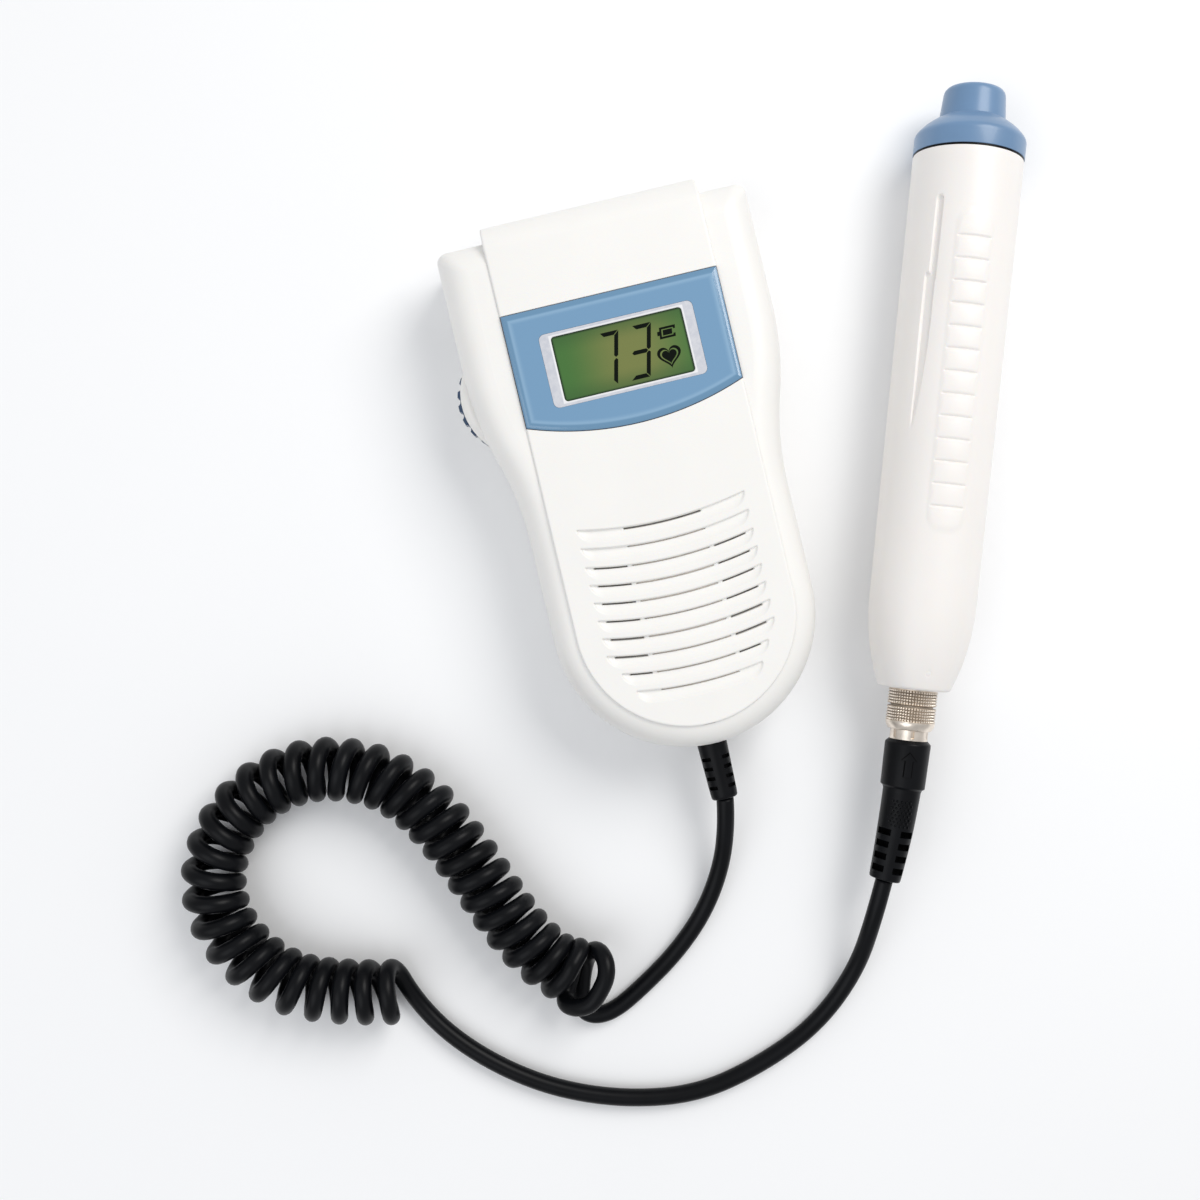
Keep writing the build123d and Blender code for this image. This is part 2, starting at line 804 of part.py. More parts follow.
with BuildPart() as speaker_magnet:
    with BuildSketch(Plane.XY.offset(speaker_top_z - speaker_depth - seat_gap)):
        with Locations((0, speaker_y)):
            Circle(magnet_radius)
    extrude(amount=-magnet_height)
    chamfer(speaker_magnet.edges().group_by(Axis.Z)[0], magnet_chamfer)
speaker_magnet.part.label = "speaker_magnet"
export_step(speaker_magnet.part, "parts/speaker_magnet.step")

# Two cells side by side, the second turned end for end
with BuildPart() as batteries:
    for side in (-1, 1):
        x = bay_x + side * cell_offset
        foot = cell_foot_y if side < 0 else cell_foot_y + cell_nub_height
        nub = foot + cell_length if side < 0 else foot - cell_nub_height
        with BuildSketch(Plane.XZ.offset(-foot)):
            with Locations((x, cell_z)):
                Circle(cell_radius)
        extrude(amount=-cell_length)
        with BuildSketch(Plane.XZ.offset(-nub)):
            with Locations((x, cell_z)):
                Circle(cell_nub_radius)
        extrude(amount=-cell_nub_height)
batteries.part.label = "batteries"
export_step(batteries.part, "parts/batteries.step")

# Contacts: a plate and tab at each nub, a conical spring at each flat end
contact_reach = contact_room - 2 * seat_gap
with BuildPart() as contact_tabs:
    for side in (-1, 1):
        wall_y = bay_top_y - seat_gap if side < 0 else bay_foot_y + seat_gap
        with BuildSketch(Plane.XZ.offset(-wall_y)):
            with Locations((bay_x + side * cell_offset, cell_z)):
                Rectangle(contact_width, contact_width)
        extrude(amount=-side * contact_thick)
        with BuildSketch(Plane.XZ.offset(-wall_y)):
            with Locations((bay_x + side * cell_offset, cell_z)):
                Rectangle(contact_tab_width, contact_tab_height)
        extrude(amount=-side * contact_reach)
contact_tabs.part.label = "contact_tabs"
export_step(contact_tabs.part, "parts/contact_tabs.step")

with BuildPart() as contact_springs:
    for side in (-1, 1):
        wall_y = bay_foot_y + seat_gap if side < 0 else bay_top_y - seat_gap
        with BuildSketch(Plane.XZ.offset(-wall_y)):
            with Locations((bay_x + side * cell_offset, cell_z)):
                Circle(contact_width / 2)
        extrude(amount=side * contact_reach, taper=contact_spring_taper)
contact_springs.part.label = "contact_springs"
export_step(contact_springs.part, "parts/contact_springs.step")

# Volume wheel, its potentiometer and the small board that carries it
with BuildPart() as volume_wheel:
    with BuildSketch(Plane.XY.offset(wheel_z)):
        with Locations((wheel_x, wheel_y)):
            Circle(wheel_radius)
            with PolarLocations(wheel_radius + scallop_offset, wheel_scallops):
                Circle(scallop_radius, mode=Mode.SUBTRACT)
            Circle(wheel_shaft_radius + running_gap, mode=Mode.SUBTRACT)
    extrude(amount=wheel_thick)
    for face_z, way in ((wheel_z, 1), (wheel_z + wheel_thick, -1)):
        with BuildSketch(Plane.XY.offset(face_z)):
            with Locations((wheel_x, wheel_y)):
                Circle(wheel_radius - wheel_rim)
                Circle(wheel_hub_radius, mode=Mode.SUBTRACT)
        extrude(amount=way * (wheel_thick - wheel_web) / 2, mode=Mode.SUBTRACT)
volume_wheel.part.label = "volume_wheel"
export_step(volume_wheel.part, "parts/volume_wheel.step")

with BuildPart() as volume_pot:
    with BuildSketch(Plane.XY.offset(pot_z)):
        with Locations((wheel_x, wheel_y)):
            Circle(pot_radius)
    extrude(amount=pot_height)
    with BuildSketch(Plane.XY.offset(pot_z)):
        with Locations((wheel_x, wheel_y)):
            Circle(wheel_shaft_radius)
    extrude(amount=wheel_z + wheel_thick + shaft_proud - pot_z)
volume_pot.part.label = "volume_pot"
export_step(volume_pot.part, "parts/volume_pot.step")

with BuildPart() as pot_board:
    with BuildSketch(Plane.XY.offset(pot_board_z)):
        with Locations((wheel_x, wheel_y)):
            RectangleRounded(pot_board_side, pot_board_side, board_corner)
    extrude(amount=pot_board_thick)
pot_board.part.label = "pot_board"
export_step(pot_board.part, "parts/pot_board.step")

# Headphone socket behind the side wall
with BuildPart() as headphone_jack:
    with BuildSketch(jack_plane(jack_shelf)):
        RectangleRounded(jack_body_width, jack_body_height, jack_corner)
    extrude(amount=jack_depth - jack_shelf)
    with BuildSketch(jack_plane(0)):
        Circle(jack_nose_radius)
    extrude(amount=jack_depth)
    with BuildSketch(jack_plane(0)):
        Circle(jack_bore_radius)
    extrude(amount=jack_bore_depth, mode=Mode.SUBTRACT)
headphone_jack.part.label = "headphone_jack"
export_step(headphone_jack.part, "parts/headphone_jack.step")

# Case screws, driven from the back
with BuildPart() as case_screws:
    for x, y in corner_places():
        with BuildSketch(Plane(origin=(x, y, 0), x_dir=(1, 0, 0), z_dir=(0, -1, 0))):
            with BuildLine():
                Polyline(
                    (0, screw_sink),
                    (screw_head_radius, screw_sink),
                    (screw_head_radius, screw_sink + screw_head_height),
                    (screw_radius, screw_sink + screw_head_height),
                    (screw_radius, screw_tip_z - screw_radius),
                    (0, screw_tip_z),
                    close=True,
                )
            make_face()
        revolve(axis=Axis((x, y, 0), (0, 0, 1)))
case_screws.part.label = "case_screws"
export_step(case_screws.part, "parts/case_screws.step")


def relief_slots(place, end_radius, row_width):
    """Slots from above and below on a plane across the cord, between a spine and closed sides."""
    half = end_radius - relief_side
    with BuildPart() as cut:
        with BuildSketch(place):
            Rectangle(2 * half, 4 * end_radius)
            Circle(wire / 2 + relief_core, mode=Mode.SUBTRACT)
            Rectangle(relief_spine, 5 * end_radius, mode=Mode.SUBTRACT)
        extrude(amount=row_width)
    return cut.part


# Strain relief where the cord leaves the case
with BuildPart() as unit_strain_relief:
    with BuildSketch(Plane.XY.offset(gland_z)):
        with BuildLine():
            Polyline(
                (0, gland_flange_y + gland_flange_thick),
                (gland_flange_radius, gland_flange_y + gland_flange_thick),
                (gland_flange_radius, gland_flange_y),
                (gland_radius, gland_flange_y),
                (gland_radius, foot_y),
                (gland_end_radius, gland_end_y),
                (0, gland_end_y),
                close=True,
            )
        make_face()
    revolve(axis=Axis((0, 0, gland_z), (0, 1, 0)))
    fillet(unit_strain_relief.edges().group_by(Axis.Y)[0], gland_round)
    for row in range(gland_rows):
        depth = gland_first_row + gland_row_pitch * row
        place = Plane(origin=(0, foot_y - depth, gland_z), x_dir=(1, 0, 0), z_dir=(0, -1, 0))
        add(relief_slots(place, gland_end_radius, gland_row_width), mode=Mode.SUBTRACT)
unit_strain_relief.part.label = "unit_strain_relief"
export_step(unit_strain_relief.part, "parts/unit_strain_relief.step")

# Probe frame: local x to the right, local y along the probe, local z up
probe_plane = Plane(
    origin=(probe_x, probe_y, probe_z),
    x_dir=(cos(radians(probe_turn)), -sin(radians(probe_turn)), 0),
    z_dir=(0, 0, 1),
)
probe_axis = Axis(probe_plane.origin, probe_plane.y_dir)


def across(along):
    """Plane across the probe's axis, a distance up from its connector end."""
    return Plane(
        origin=probe_plane.origin + probe_plane.y_dir * along,
        x_dir=probe_plane.x_dir,
        z_dir=probe_plane.y_dir,
    )


def rolled(angle):
    """Plane along the probe's axis that faces up, rolled to the right by an angle."""
    turn = radians(angle)
    return Plane(
        origin=probe_plane.origin,
        x_dir=probe_plane.x_dir * cos(turn) - probe_plane.z_dir * sin(turn),
        z_dir=probe_plane.z_dir * cos(turn) + probe_plane.x_dir * sin(turn),
    )


def handle_radius(along):
    """Radius of the handle above its waist."""
    share = (along - probe_waist_at) / (probe_length - probe_waist_at)
    return probe_waist_radius + (probe_radius - probe_waist_radius) * share


def handle_form(inset):
    """Solid of the handle's shape, drawn in by an inset."""
    waist = (probe_waist_radius - inset, probe_waist_at)
    slope = (probe_waist_radius - probe_radius, probe_waist_at - probe_length)
    with BuildPart() as form:
        with BuildSketch(probe_plane):
            with BuildLine():
                tail = TangentArc(waist, (probe_end_radius - inset, 0), tangent=slope)
                Polyline(tail @ 1, (0, 0), (0, probe_length), (probe_radius - inset, probe_length), tail @ 0)
            make_face()
        revolve(axis=probe_axis)
    return form.part


# Probe handle: a tapered barrel with a ribbed grip strip and a thumb recess
with BuildPart() as grip_pad:
    add(handle_form(-grip_proud))
    with BuildSketch(rolled(grip_roll)):
        with Locations((0, (grip_start + grip_end) / 2)):
            RectangleRounded(grip_width, grip_end - grip_start, grip_corner)
    extrude(amount=2 * probe_radius, mode=Mode.INTERSECT)
    groove_plane = Plane(
        origin=probe_plane.origin,
        x_dir=probe_plane.y_dir,
        z_dir=rolled(grip_roll).x_dir,
    )
    with BuildSketch(groove_plane):
        for groove in range(grip_grooves):
            along = grip_first_groove - grip_pitch * groove
            height = handle_radius(along) + grip_proud + grip_groove_radius - grip_groove_depth
            with Locations((along, -height)):
                Circle(grip_groove_radius)
    extrude(amount=probe_radius, both=True, mode=Mode.SUBTRACT)

with BuildPart() as probe_bore:
    add(handle_form(probe_wall))
    with BuildSketch(across(0)):
        Circle(probe_radius)
    extrude(amount=probe_end_wall, mode=Mode.SUBTRACT)

with BuildPart() as probe_handle:
    add(handle_form(0))
    fillet(probe_handle.edges().group_by(probe_axis)[0], probe_end_round)
    add(grip_pad.part)
    with BuildSketch(rolled(thumb_roll).offset(handle_radius(thumb_slot_start) - thumb_depth)):
        with Locations((0, (thumb_slot_start + thumb_slot_end) / 2)):
            RectangleRounded(thumb_slot_width, thumb_slot_end - thumb_slot_start, thumb_slot_width / 3)
        with BuildLine():
            Polyline(
                (thumb_slot_width / 2, thumb_slot_start + thumb_overlap),
                (thumb_slot_width / 2 - thumb_scoop_width, thumb_slot_start),
                (thumb_slot_width / 2 - thumb_scoop_width / 2, thumb_scoop_foot),
                close=True,
            )
        make_face()
    extrude(amount=probe_radius, mode=Mode.SUBTRACT)
    add(probe_bore.part, mode=Mode.SUBTRACT)
    # Grooved rails that hold the circuit board by its edges
    with BuildSketch(across(probe_board_start)):
        Rectangle(2 * (probe_radius - probe_wall), probe_board_thick + 2 * probe_rib_height)
        Rectangle(probe_board_width - 2 * probe_rib_lap, probe_radius, mode=Mode.SUBTRACT)
        Rectangle(probe_board_width + 2 * fit_gap, probe_board_thick + 2 * seat_gap, mode=Mode.SUBTRACT)
    extrude(amount=probe_board_length)
    with BuildSketch(across(-overcut)):
        Circle(socket_radius + running_gap)
    extrude(amount=probe_end_wall + 2 * overcut, mode=Mode.SUBTRACT)
probe_handle.part.label = "probe_handle"
export_step(probe_handle.part, "parts/probe_handle.step")

# Probe cap and the seal under its ring
spigot_radius = probe_radius - probe_wall - fit_gap
cap_foot = probe_length + cap_seam
cap_top = cap_foot + cap_ring
tip_foot = cap_top + cap_shoulder
tip_end = tip_foot + tip_length
tip_inside = tip_end - tip_wall
with BuildPart() as probe_cap:
    with BuildSketch(probe_plane):
        with BuildLine():
            shoulder = TangentArc((cap_radius, cap_top), (cap_shoulder_radius, tip_foot), tangent=(0, 1))
            dome = TangentArc((0, tip_end + tip_dome), (tip_end_radius, tip_end), tangent=(1, 0))
            Polyline(shoulder @ 1, (tip_radius, tip_foot), dome @ 1)
            Polyline(
                dome @ 0,
                (0, tip_inside),
                (tip_bore_radius, tip_inside),
                (tip_bore_radius, cap_top),
                (spigot_radius - cap_wall, cap_foot),
                (spigot_radius - cap_wall, cap_foot - cap_spigot),
                (spigot_radius, cap_foot - cap_spigot),
                (spigot_radius, cap_foot),
                (cap_radius, cap_foot),
                shoulder @ 0,
            )
        make_face()
    revolve(axis=probe_axis)
    fillet(probe_cap.edges().filter_by(lambda edge: edge.is_closed).group_by(probe_axis)[-1], tip_round)
probe_cap.part.label = "probe_cap"
export_step(probe_cap.part, "parts/probe_cap.step")

with BuildPart() as cap_seal:
    with BuildSketch(across(probe_length + seat_gap)):
        Circle(probe_radius - seal_inset)
        Circle(spigot_radius + running_gap, mode=Mode.SUBTRACT)
    extrude(amount=cap_seam - 2 * seat_gap)
cap_seal.part.label = "cap_seal"
export_step(cap_seal.part, "parts/cap_seal.step")

# Sensing crystals, sender and receiver, on the inside of the tip
with BuildPart() as crystals:
    with BuildSketch(across(tip_inside - seat_gap)):
        Circle(crystal_radius)
        Rectangle(crystal_gap, 2 * crystal_radius, mode=Mode.SUBTRACT)
    extrude(amount=-crystal_thick)
crystals.part.label = "crystals"
export_step(crystals.part, "parts/crystals.step")

with BuildPart() as crystal_backing:
    with BuildSketch(across(tip_inside - 2 * seat_gap - crystal_thick)):
        Circle(tip_bore_radius - running_gap)
    extrude(amount=-backing_length)
crystal_backing.part.label = "crystal_backing"
export_step(crystal_backing.part, "parts/crystal_backing.step")

with BuildPart() as probe_board:
    with BuildSketch(across(probe_board_start)):
        Rectangle(probe_board_width, probe_board_thick)
    extrude(amount=probe_board_length)
probe_board.part.label = "probe_board"
export_step(probe_board.part, "parts/probe_board.step")

# Connector on the probe: knurled receptacle, its nut, insert and pins
with BuildPart() as receptacle:
    with BuildSketch(across(-seat_gap)):
        Circle(ring_radius)
    extrude(amount=seat_gap - ring_length)
    with BuildSketch(across(-seat_gap)):
        with PolarLocations(ring_radius, ring_knurls):
            Circle(knurl_depth)
    extrude(amount=seat_gap - ring_length, mode=Mode.SUBTRACT)
    with BuildSketch(across(-seat_gap)):
        Circle(socket_radius)
    extrude(amount=socket_depth + seat_gap)
    with BuildSketch(across(-ring_length)):
        Circle(socket_bore_radius)
    extrude(amount=ring_length + socket_depth, mode=Mode.SUBTRACT)
receptacle.part.label = "receptacle"
export_step(receptacle.part, "parts/receptacle.step")

with BuildPart() as receptacle_nut:
    with BuildSketch(across(probe_end_wall + seat_gap)):
        RegularPolygon(nut_radius, 6)
        Circle(socket_radius + running_gap, mode=Mode.SUBTRACT)
    extrude(amount=nut_thick)
receptacle_nut.part.label = "receptacle_nut"
export_step(receptacle_nut.part, "parts/receptacle_nut.step")

with BuildPart() as receptacle_insert:
    with BuildSketch(across(socket_depth)):
        Circle(socket_bore_radius - seat_gap)
        with PolarLocations(pin_circle, pin_count):
            Circle(pin_radius + seat_gap, mode=Mode.SUBTRACT)
    extrude(amount=-insert_depth)
receptacle_insert.part.label = "receptacle_insert"
export_step(receptacle_insert.part, "parts/receptacle_insert.step")

with BuildPart() as receptacle_pins:
    with BuildSketch(across(socket_depth + pin_tail)):
        with PolarLocations(pin_circle, pin_count):
            Circle(pin_radius)
    extrude(amount=-pin_tail - insert_depth - pin_length)
receptacle_pins.part.label = "receptacle_pins"
export_step(receptacle_pins.part, "parts/receptacle_pins.step")

# Plug on the cord: lock sleeve, metal shell, insert and moulded body
sleeve_foot = -ring_length - sleeve_gap
sleeve_edge = sleeve_foot - sleeve_lip
sleeve_end = sleeve_edge - sleeve_length
sleeve_tip = sleeve_end - sleeve_nose
head_foot = sleeve_tip - neck_length
head_end = head_foot - head_length
boot_end = head_foot - plug_length
with BuildPart() as plug_sleeve:
    with BuildSketch(across(sleeve_edge)):
        Circle(ring_radius)
        with PolarLocations(ring_radius, ring_knurls):
            Circle(knurl_depth, mode=Mode.SUBTRACT)
    extrude(amount=-sleeve_length)
    with BuildSketch(probe_plane):
        with BuildLine():
            Polyline(
                (neck_radius, sleeve_foot),
                (sleeve_lip_radius, sleeve_foot),
                (sleeve_lip_radius, sleeve_edge),
                (sleeve_lip_radius, sleeve_end),
                (ring_radius - knurl_depth, sleeve_end),
                (sleeve_nose_radius, sleeve_tip),
                (neck_radius, sleeve_tip),
                close=True,
            )
        make_face()
    revolve(axis=probe_axis)
    with BuildSketch(across(sleeve_foot)):
        Circle(neck_radius + running_gap)
    extrude(amount=sleeve_tip - sleeve_foot, mode=Mode.SUBTRACT)
plug_sleeve.part.label = "plug_sleeve"
export_step(plug_sleeve.part, "parts/plug_sleeve.step")

with BuildPart() as plug_shell:
    with BuildSketch(probe_plane):
        with BuildLine():
            Polyline(
                (plug_insert_radius, plug_nose),
                (socket_bore_radius - running_gap, plug_nose),
                (socket_bore_radius - running_gap, sleeve_foot),
                (neck_radius, sleeve_foot),
                (neck_radius, head_foot - shell_grip),
                (plug_insert_radius, head_foot - shell_grip),
                close=True,
            )
        make_face()
    revolve(axis=probe_axis)
plug_shell.part.label = "plug_shell"
export_step(plug_shell.part, "parts/plug_shell.step")

with BuildPart() as plug_insert:
    with BuildSketch(across(plug_nose - seat_gap)):
        Circle(plug_insert_radius - seat_gap)
    extrude(amount=head_foot - plug_nose)
    with BuildSketch(across(plug_nose)):
        with PolarLocations(pin_circle, pin_count):
            Circle(pin_radius + pin_play)
    extrude(amount=-pin_length, mode=Mode.SUBTRACT)
plug_insert.part.label = "plug_insert"
export_step(plug_insert.part, "parts/plug_insert.step")

with BuildPart() as plug_body:
    with BuildSketch(probe_plane):
        with BuildLine():
            Polyline(
                (0, head_foot),
                (head_radius - head_chamfer, head_foot),
                (head_radius, head_foot - head_chamfer),
                (head_radius, head_end + head_chamfer),
                (body_radius, head_end),
                (body_end_radius, boot_end),
                (0, boot_end),
                close=True,
            )
        make_face()
    revolve(axis=probe_axis)
    fillet(plug_body.edges().group_by(probe_axis)[0], boot_round)
    for row in range(boot_rows):
        place = across(head_foot - boot_first_row - boot_row_pitch * row)
        place = Plane(origin=place.origin, x_dir=place.x_dir, z_dir=-place.z_dir)
        add(relief_slots(place, body_end_radius, boot_row_width), mode=Mode.SUBTRACT)
    head_middle = across((head_foot + head_end) / 2).origin
    with BuildSketch(Plane(origin=head_middle, x_dir=probe_plane.x_dir, z_dir=probe_plane.z_dir)):
        with BuildLine():
            Polyline(
                (0, arrow_length / 2),
                (arrow_width / 2, arrow_length / 8),
                (arrow_width / 4, arrow_length / 8),
                (arrow_width / 4, -arrow_length / 2),
                (-arrow_width / 4, -arrow_length / 2),
                (-arrow_width / 4, arrow_length / 8),
                (-arrow_width / 2, arrow_length / 8),
                close=True,
            )
        make_face()
    extrude(amount=head_radius + arrow_proud)
    with BuildSketch(across(head_foot)):
        Circle(neck_radius + seat_gap)
    extrude(amount=-shell_grip - seat_gap, mode=Mode.SUBTRACT)
plug_body.part.label = "plug_body"
export_step(plug_body.part, "parts/plug_body.step")

# Curly cord: a left-handed helix about a curved axis, on arcs of a quarter turn
coil_axis = Spline(*coil_points)
half_turns = round(2 * coil_turns)
coil_phase = 1.5 * pi


def coil_point(share):
    """Point of the wire's centre at a share of the axis's length."""
    ahead = coil_axis % share
    left = Vector(0, 0, 1).cross(ahead).normalized()
    up = ahead.cross(left)
    turn = coil_phase - pi * half_turns * share
    return coil_axis @ share + (left * cos(turn) + up * sin(turn)) * coil_radius


def coil_direction(share):
    """Direction of the wire there, from two points close beside it."""
    step = 0.0001
    return (coil_point(min(share + step, 1)) - coil_point(max(share - step, 0))).normalized()


def two_arcs(start, start_dir, end, end_dir):
    """Two arcs that meet smoothly and join two points along given directions."""
    chord = end - start
    total = start_dir + end_dir
    spread = 2 * (1 - start_dir.dot(end_dir))
    along = chord.dot(total)
    reach = (sqrt(along**2 + spread * chord.dot(chord)) - along) / spread
    near = start + start_dir * reach
    far = end - end_dir * reach
    middle = (near + far) / 2
    first = Edge.make_tangent_arc(start, start_dir, middle)
    second = Edge.make_tangent_arc(middle, (far - near).normalized(), end)
    return [first, second]


coil_start = Vector(*coil_start_point)
coil_start_dir = Vector(*coil_start_way).normalized()
coil_end = Vector(*coil_end_point)
coil_end_dir = Vector(*coil_end_way).normalized()
stations = [(coil_start, coil_start_dir)]
for k in range(half_turns + 1):
    stations.append((coil_point(k / half_turns), coil_direction(k / half_turns)))
stations.append((coil_end, coil_end_dir))
coil_edges = [Edge.make_line(coil_start - coil_start_dir * wire, coil_start)]
for here, there in zip(stations, stations[1:]):
    coil_edges += two_arcs(*here, *there)
coil_edges.append(Edge.make_line(coil_end, coil_end + coil_end_dir * wire))
coil_line = Wire(coil_edges)

sample_step = wire / 5
coil_samples = []
travelled = 0
for edge in coil_edges:
    steps = max(2, round(edge.length / sample_step))
    for k in range(steps):
        coil_samples.append((travelled + edge.length * k / steps, edge @ (k / steps)))
    travelled += edge.length
samples_in_two_turns = round(4 * pi * coil_radius / sample_step)
least_gap = min(
    (here - there).length
    for k, (at, here) in enumerate(coil_samples)
    for beyond, there in coil_samples[k + 1 : k + samples_in_two_turns]
    if beyond - at > 3 * wire
)
tightest = min(edge.radius for edge in coil_edges[1:-1])
print(f"coil: wire {travelled:.0f} mm, tightest bend {tightest:.2f} mm")
print(f"coil: least gap to itself {least_gap - wire:.2f} mm")

with BuildPart() as cord_coil:
    with BuildSketch(Plane(origin=coil_line @ 0, z_dir=coil_start_dir)):
        RegularPolygon(wire / 2, coil_sides)
    sweep(path=coil_line, clean=False)
cord_coil.part.label = "cord_coil"
export_step(cord_coil.part, "parts/cord_coil.step")


def bend_radii(name, points):
    """Bend radius at each corner of a lead: a share of what its shorter run allows."""
    radii = []
    for before, corner, after in zip(points, points[1:], points[2:]):
        turn = radians((corner - before).get_angle(after - corner))
        run = min((corner - before).length, (after - corner).length)
        radii.append(bend_share * run / tan(turn / 2))
    print(name, "radii", [round(radius, 1) for radius in radii])
    return radii


def lead_tube(name, points):
    """Round lead along rounded runs between hand-placed points."""
    with BuildPart() as tube:
        with BuildLine() as route:
            FilletPolyline(*points, radius=bend_radii(name, points))
        with BuildSketch(Plane(origin=points[0], z_dir=points[1] - points[0])):
            Circle(wire / 2)
        sweep(path=route.wire())
    length = route.wire().length
    share = tube.part.volume / (pi * wire**2 / 4 * length)
    print(name, f"length {length:.1f}, volume over section times length {share:.4f}")
    return tube.part


unit_lead_points = [Vector(0, gland_end_y, gland_z)]
unit_lead_points += [Vector(*point) for point in unit_lead_bends]
unit_lead_points += [coil_start - coil_start_dir * (wire + lead_straight), coil_start - coil_start_dir * wire]
with BuildPart() as cord_lead_unit:
    add(lead_tube("cord_lead_unit", unit_lead_points))
cord_lead_unit.part.label = "cord_lead_unit"
export_step(cord_lead_unit.part, "parts/cord_lead_unit.step")

plug_end = across(boot_end).origin
probe_lead_points = [plug_end, plug_end - probe_plane.y_dir * boot_straight]
probe_lead_points += [Vector(*point) for point in probe_lead_bends]
probe_lead_points += [coil_end + coil_end_dir * (wire + lead_straight), coil_end + coil_end_dir * wire]
with BuildPart() as cord_lead_probe:
    add(lead_tube("cord_lead_probe", probe_lead_points))
cord_lead_probe.part.label = "cord_lead_probe"
export_step(cord_lead_probe.part, "parts/cord_lead_probe.step")
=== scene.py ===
import bpy
import numpy as np
from math import cos, pi, radians, sin
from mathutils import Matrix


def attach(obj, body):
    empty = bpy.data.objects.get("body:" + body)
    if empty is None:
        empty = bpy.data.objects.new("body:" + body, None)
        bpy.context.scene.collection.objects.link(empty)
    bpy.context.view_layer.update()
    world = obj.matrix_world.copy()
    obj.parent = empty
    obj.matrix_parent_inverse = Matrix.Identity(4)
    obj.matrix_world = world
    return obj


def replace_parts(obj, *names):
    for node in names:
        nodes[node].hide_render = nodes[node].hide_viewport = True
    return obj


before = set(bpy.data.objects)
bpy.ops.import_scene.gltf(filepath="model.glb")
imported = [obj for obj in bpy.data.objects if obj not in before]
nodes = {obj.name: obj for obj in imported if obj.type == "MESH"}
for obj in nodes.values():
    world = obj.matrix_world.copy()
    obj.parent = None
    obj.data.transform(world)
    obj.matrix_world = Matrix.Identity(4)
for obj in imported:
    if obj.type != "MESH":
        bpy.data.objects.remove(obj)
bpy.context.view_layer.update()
mm = 0.001
print("scene: packed frame loaded")


# a socket with arithmetic: an expression on sockets adds its Math nodes
class Sock:
    def __init__(self, tree, out):
        self.tree = tree
        self.out = out

    def feed(self, target, value):
        if isinstance(value, Sock):
            self.tree.links.new(value.out, target)
        else:
            target.default_value = value

    # any other node: its type, its settings, then the values or links of its sockets, by name or by number
    def node(self, kind, settings=None, out=0, **sockets):
        added = self.tree.nodes.new(kind)
        for key, value in (settings or {}).items():
            setattr(added, key, value)
        for key, value in sockets.items():
            self.feed(added.inputs[int(key[1:]) if key[1:].isdigit() else key.replace("_", " ")], value)
        return Sock(self.tree, added.outputs[out])

    def math(self, operation, *values):
        return self.node("ShaderNodeMath", {"operation": operation}, **{f"i{k}": value for k, value in enumerate(values)})

    def __add__(self, other):
        return self.math("ADD", self, other)

    def __radd__(self, other):
        return self.math("ADD", other, self)

    def __sub__(self, other):
        return self.math("SUBTRACT", self, other)

    def __rsub__(self, other):
        return self.math("SUBTRACT", other, self)

    def __mul__(self, other):
        return self.math("MULTIPLY", self, other)

    def __rmul__(self, other):
        return self.math("MULTIPLY", other, self)

    def __abs__(self):
        return self.math("ABSOLUTE", self)

    # 0 below low, 1 above high, smooth between
    def step(self, low, high):
        return self.node(
            "ShaderNodeMapRange", {"interpolation_type": "SMOOTHSTEP"},
            Value=self, From_Min=low, From_Max=high, To_Min=0.0, To_Max=1.0,
        )


# a colour between two, by a mask socket
def mixColour(mask, low, high):
    low, high = (colour if isinstance(colour, Sock) else (*colour, 1) for colour in (low, high))
    return mask.node("ShaderNodeMix", {"data_type": "RGBA"}, out=2, i0=mask, i6=low, i7=high)


# a new material with its main shader and its object-coordinate socket; constants go on the shader's own sockets
def newMaterial(name, **constants):
    material = bpy.data.materials.new(name)
    material.use_nodes = True
    tree = material.node_tree
    shader = tree.nodes["Principled BSDF"]
    for socket, value in constants.items():
        shader.inputs[socket.replace("_", " ")].default_value = value
    return material, shader, Sock(tree, tree.nodes.new("ShaderNodeTexCoord").outputs["Object"])


# noise of a size in millimetres and a number of octaves, from 0 to 1
def noise(place, size, detail):
    return place.node("ShaderNodeTexNoise", out="Fac", Vector=place, Scale=1 / (size * mm), Detail=detail)


# a colour that drifts between two, by a cloud of noise
def cloudy(place, size, one, other):
    return mixColour(noise(place, size, 2.0).step(0.3, 0.7), one, other)


# what a finish has where its own settings say nothing; sizes are in millimetres, but for the glow's reach in metres
plainFinish = dict(
    cloud=18, rubSize=7, rub=0.12, metal=0.0, specular=0.5, coat=0.0, coatRough=0.1,
    glow=0.0, glowReach=(0.004, 0.003, 0.002), grain=0.35, grainStrength=0.15, grainDepth=0.02,
)


# moulded or machined finish: the colour a spread darker to a spread lighter by a cloud of noise, the roughness
# plus a finer noise for rubbed gloss, and a fine grain as bump
def finish(name, settings):
    settings = {**plainFinish, **settings}
    material, shader, place = newMaterial(
        name, Metallic=settings["metal"], Specular_IOR_Level=settings["specular"],
        Coat_Weight=settings["coat"], Coat_Roughness=settings["coatRough"],
        Subsurface_Weight=settings["glow"], Subsurface_Radius=settings["glowReach"],
    )
    dark = [c * (1 - settings["spread"]) for c in settings["colour"]]
    light = [min(1, c * (1 + settings["spread"])) for c in settings["colour"]]
    place.feed(shader.inputs["Base Color"], cloudy(place, settings["cloud"], dark, light))
    rub = noise(place, settings["rubSize"], 4.0)
    place.feed(shader.inputs["Roughness"], settings["rough"] + (rub - 0.5) * settings["rub"])
    place.feed(shader.inputs["Normal"], place.node(
        "ShaderNodeBump", Height=noise(place, settings["grain"], 2.0),
        Strength=settings["grainStrength"], Distance=settings["grainDepth"] * mm,
    ))
    return material


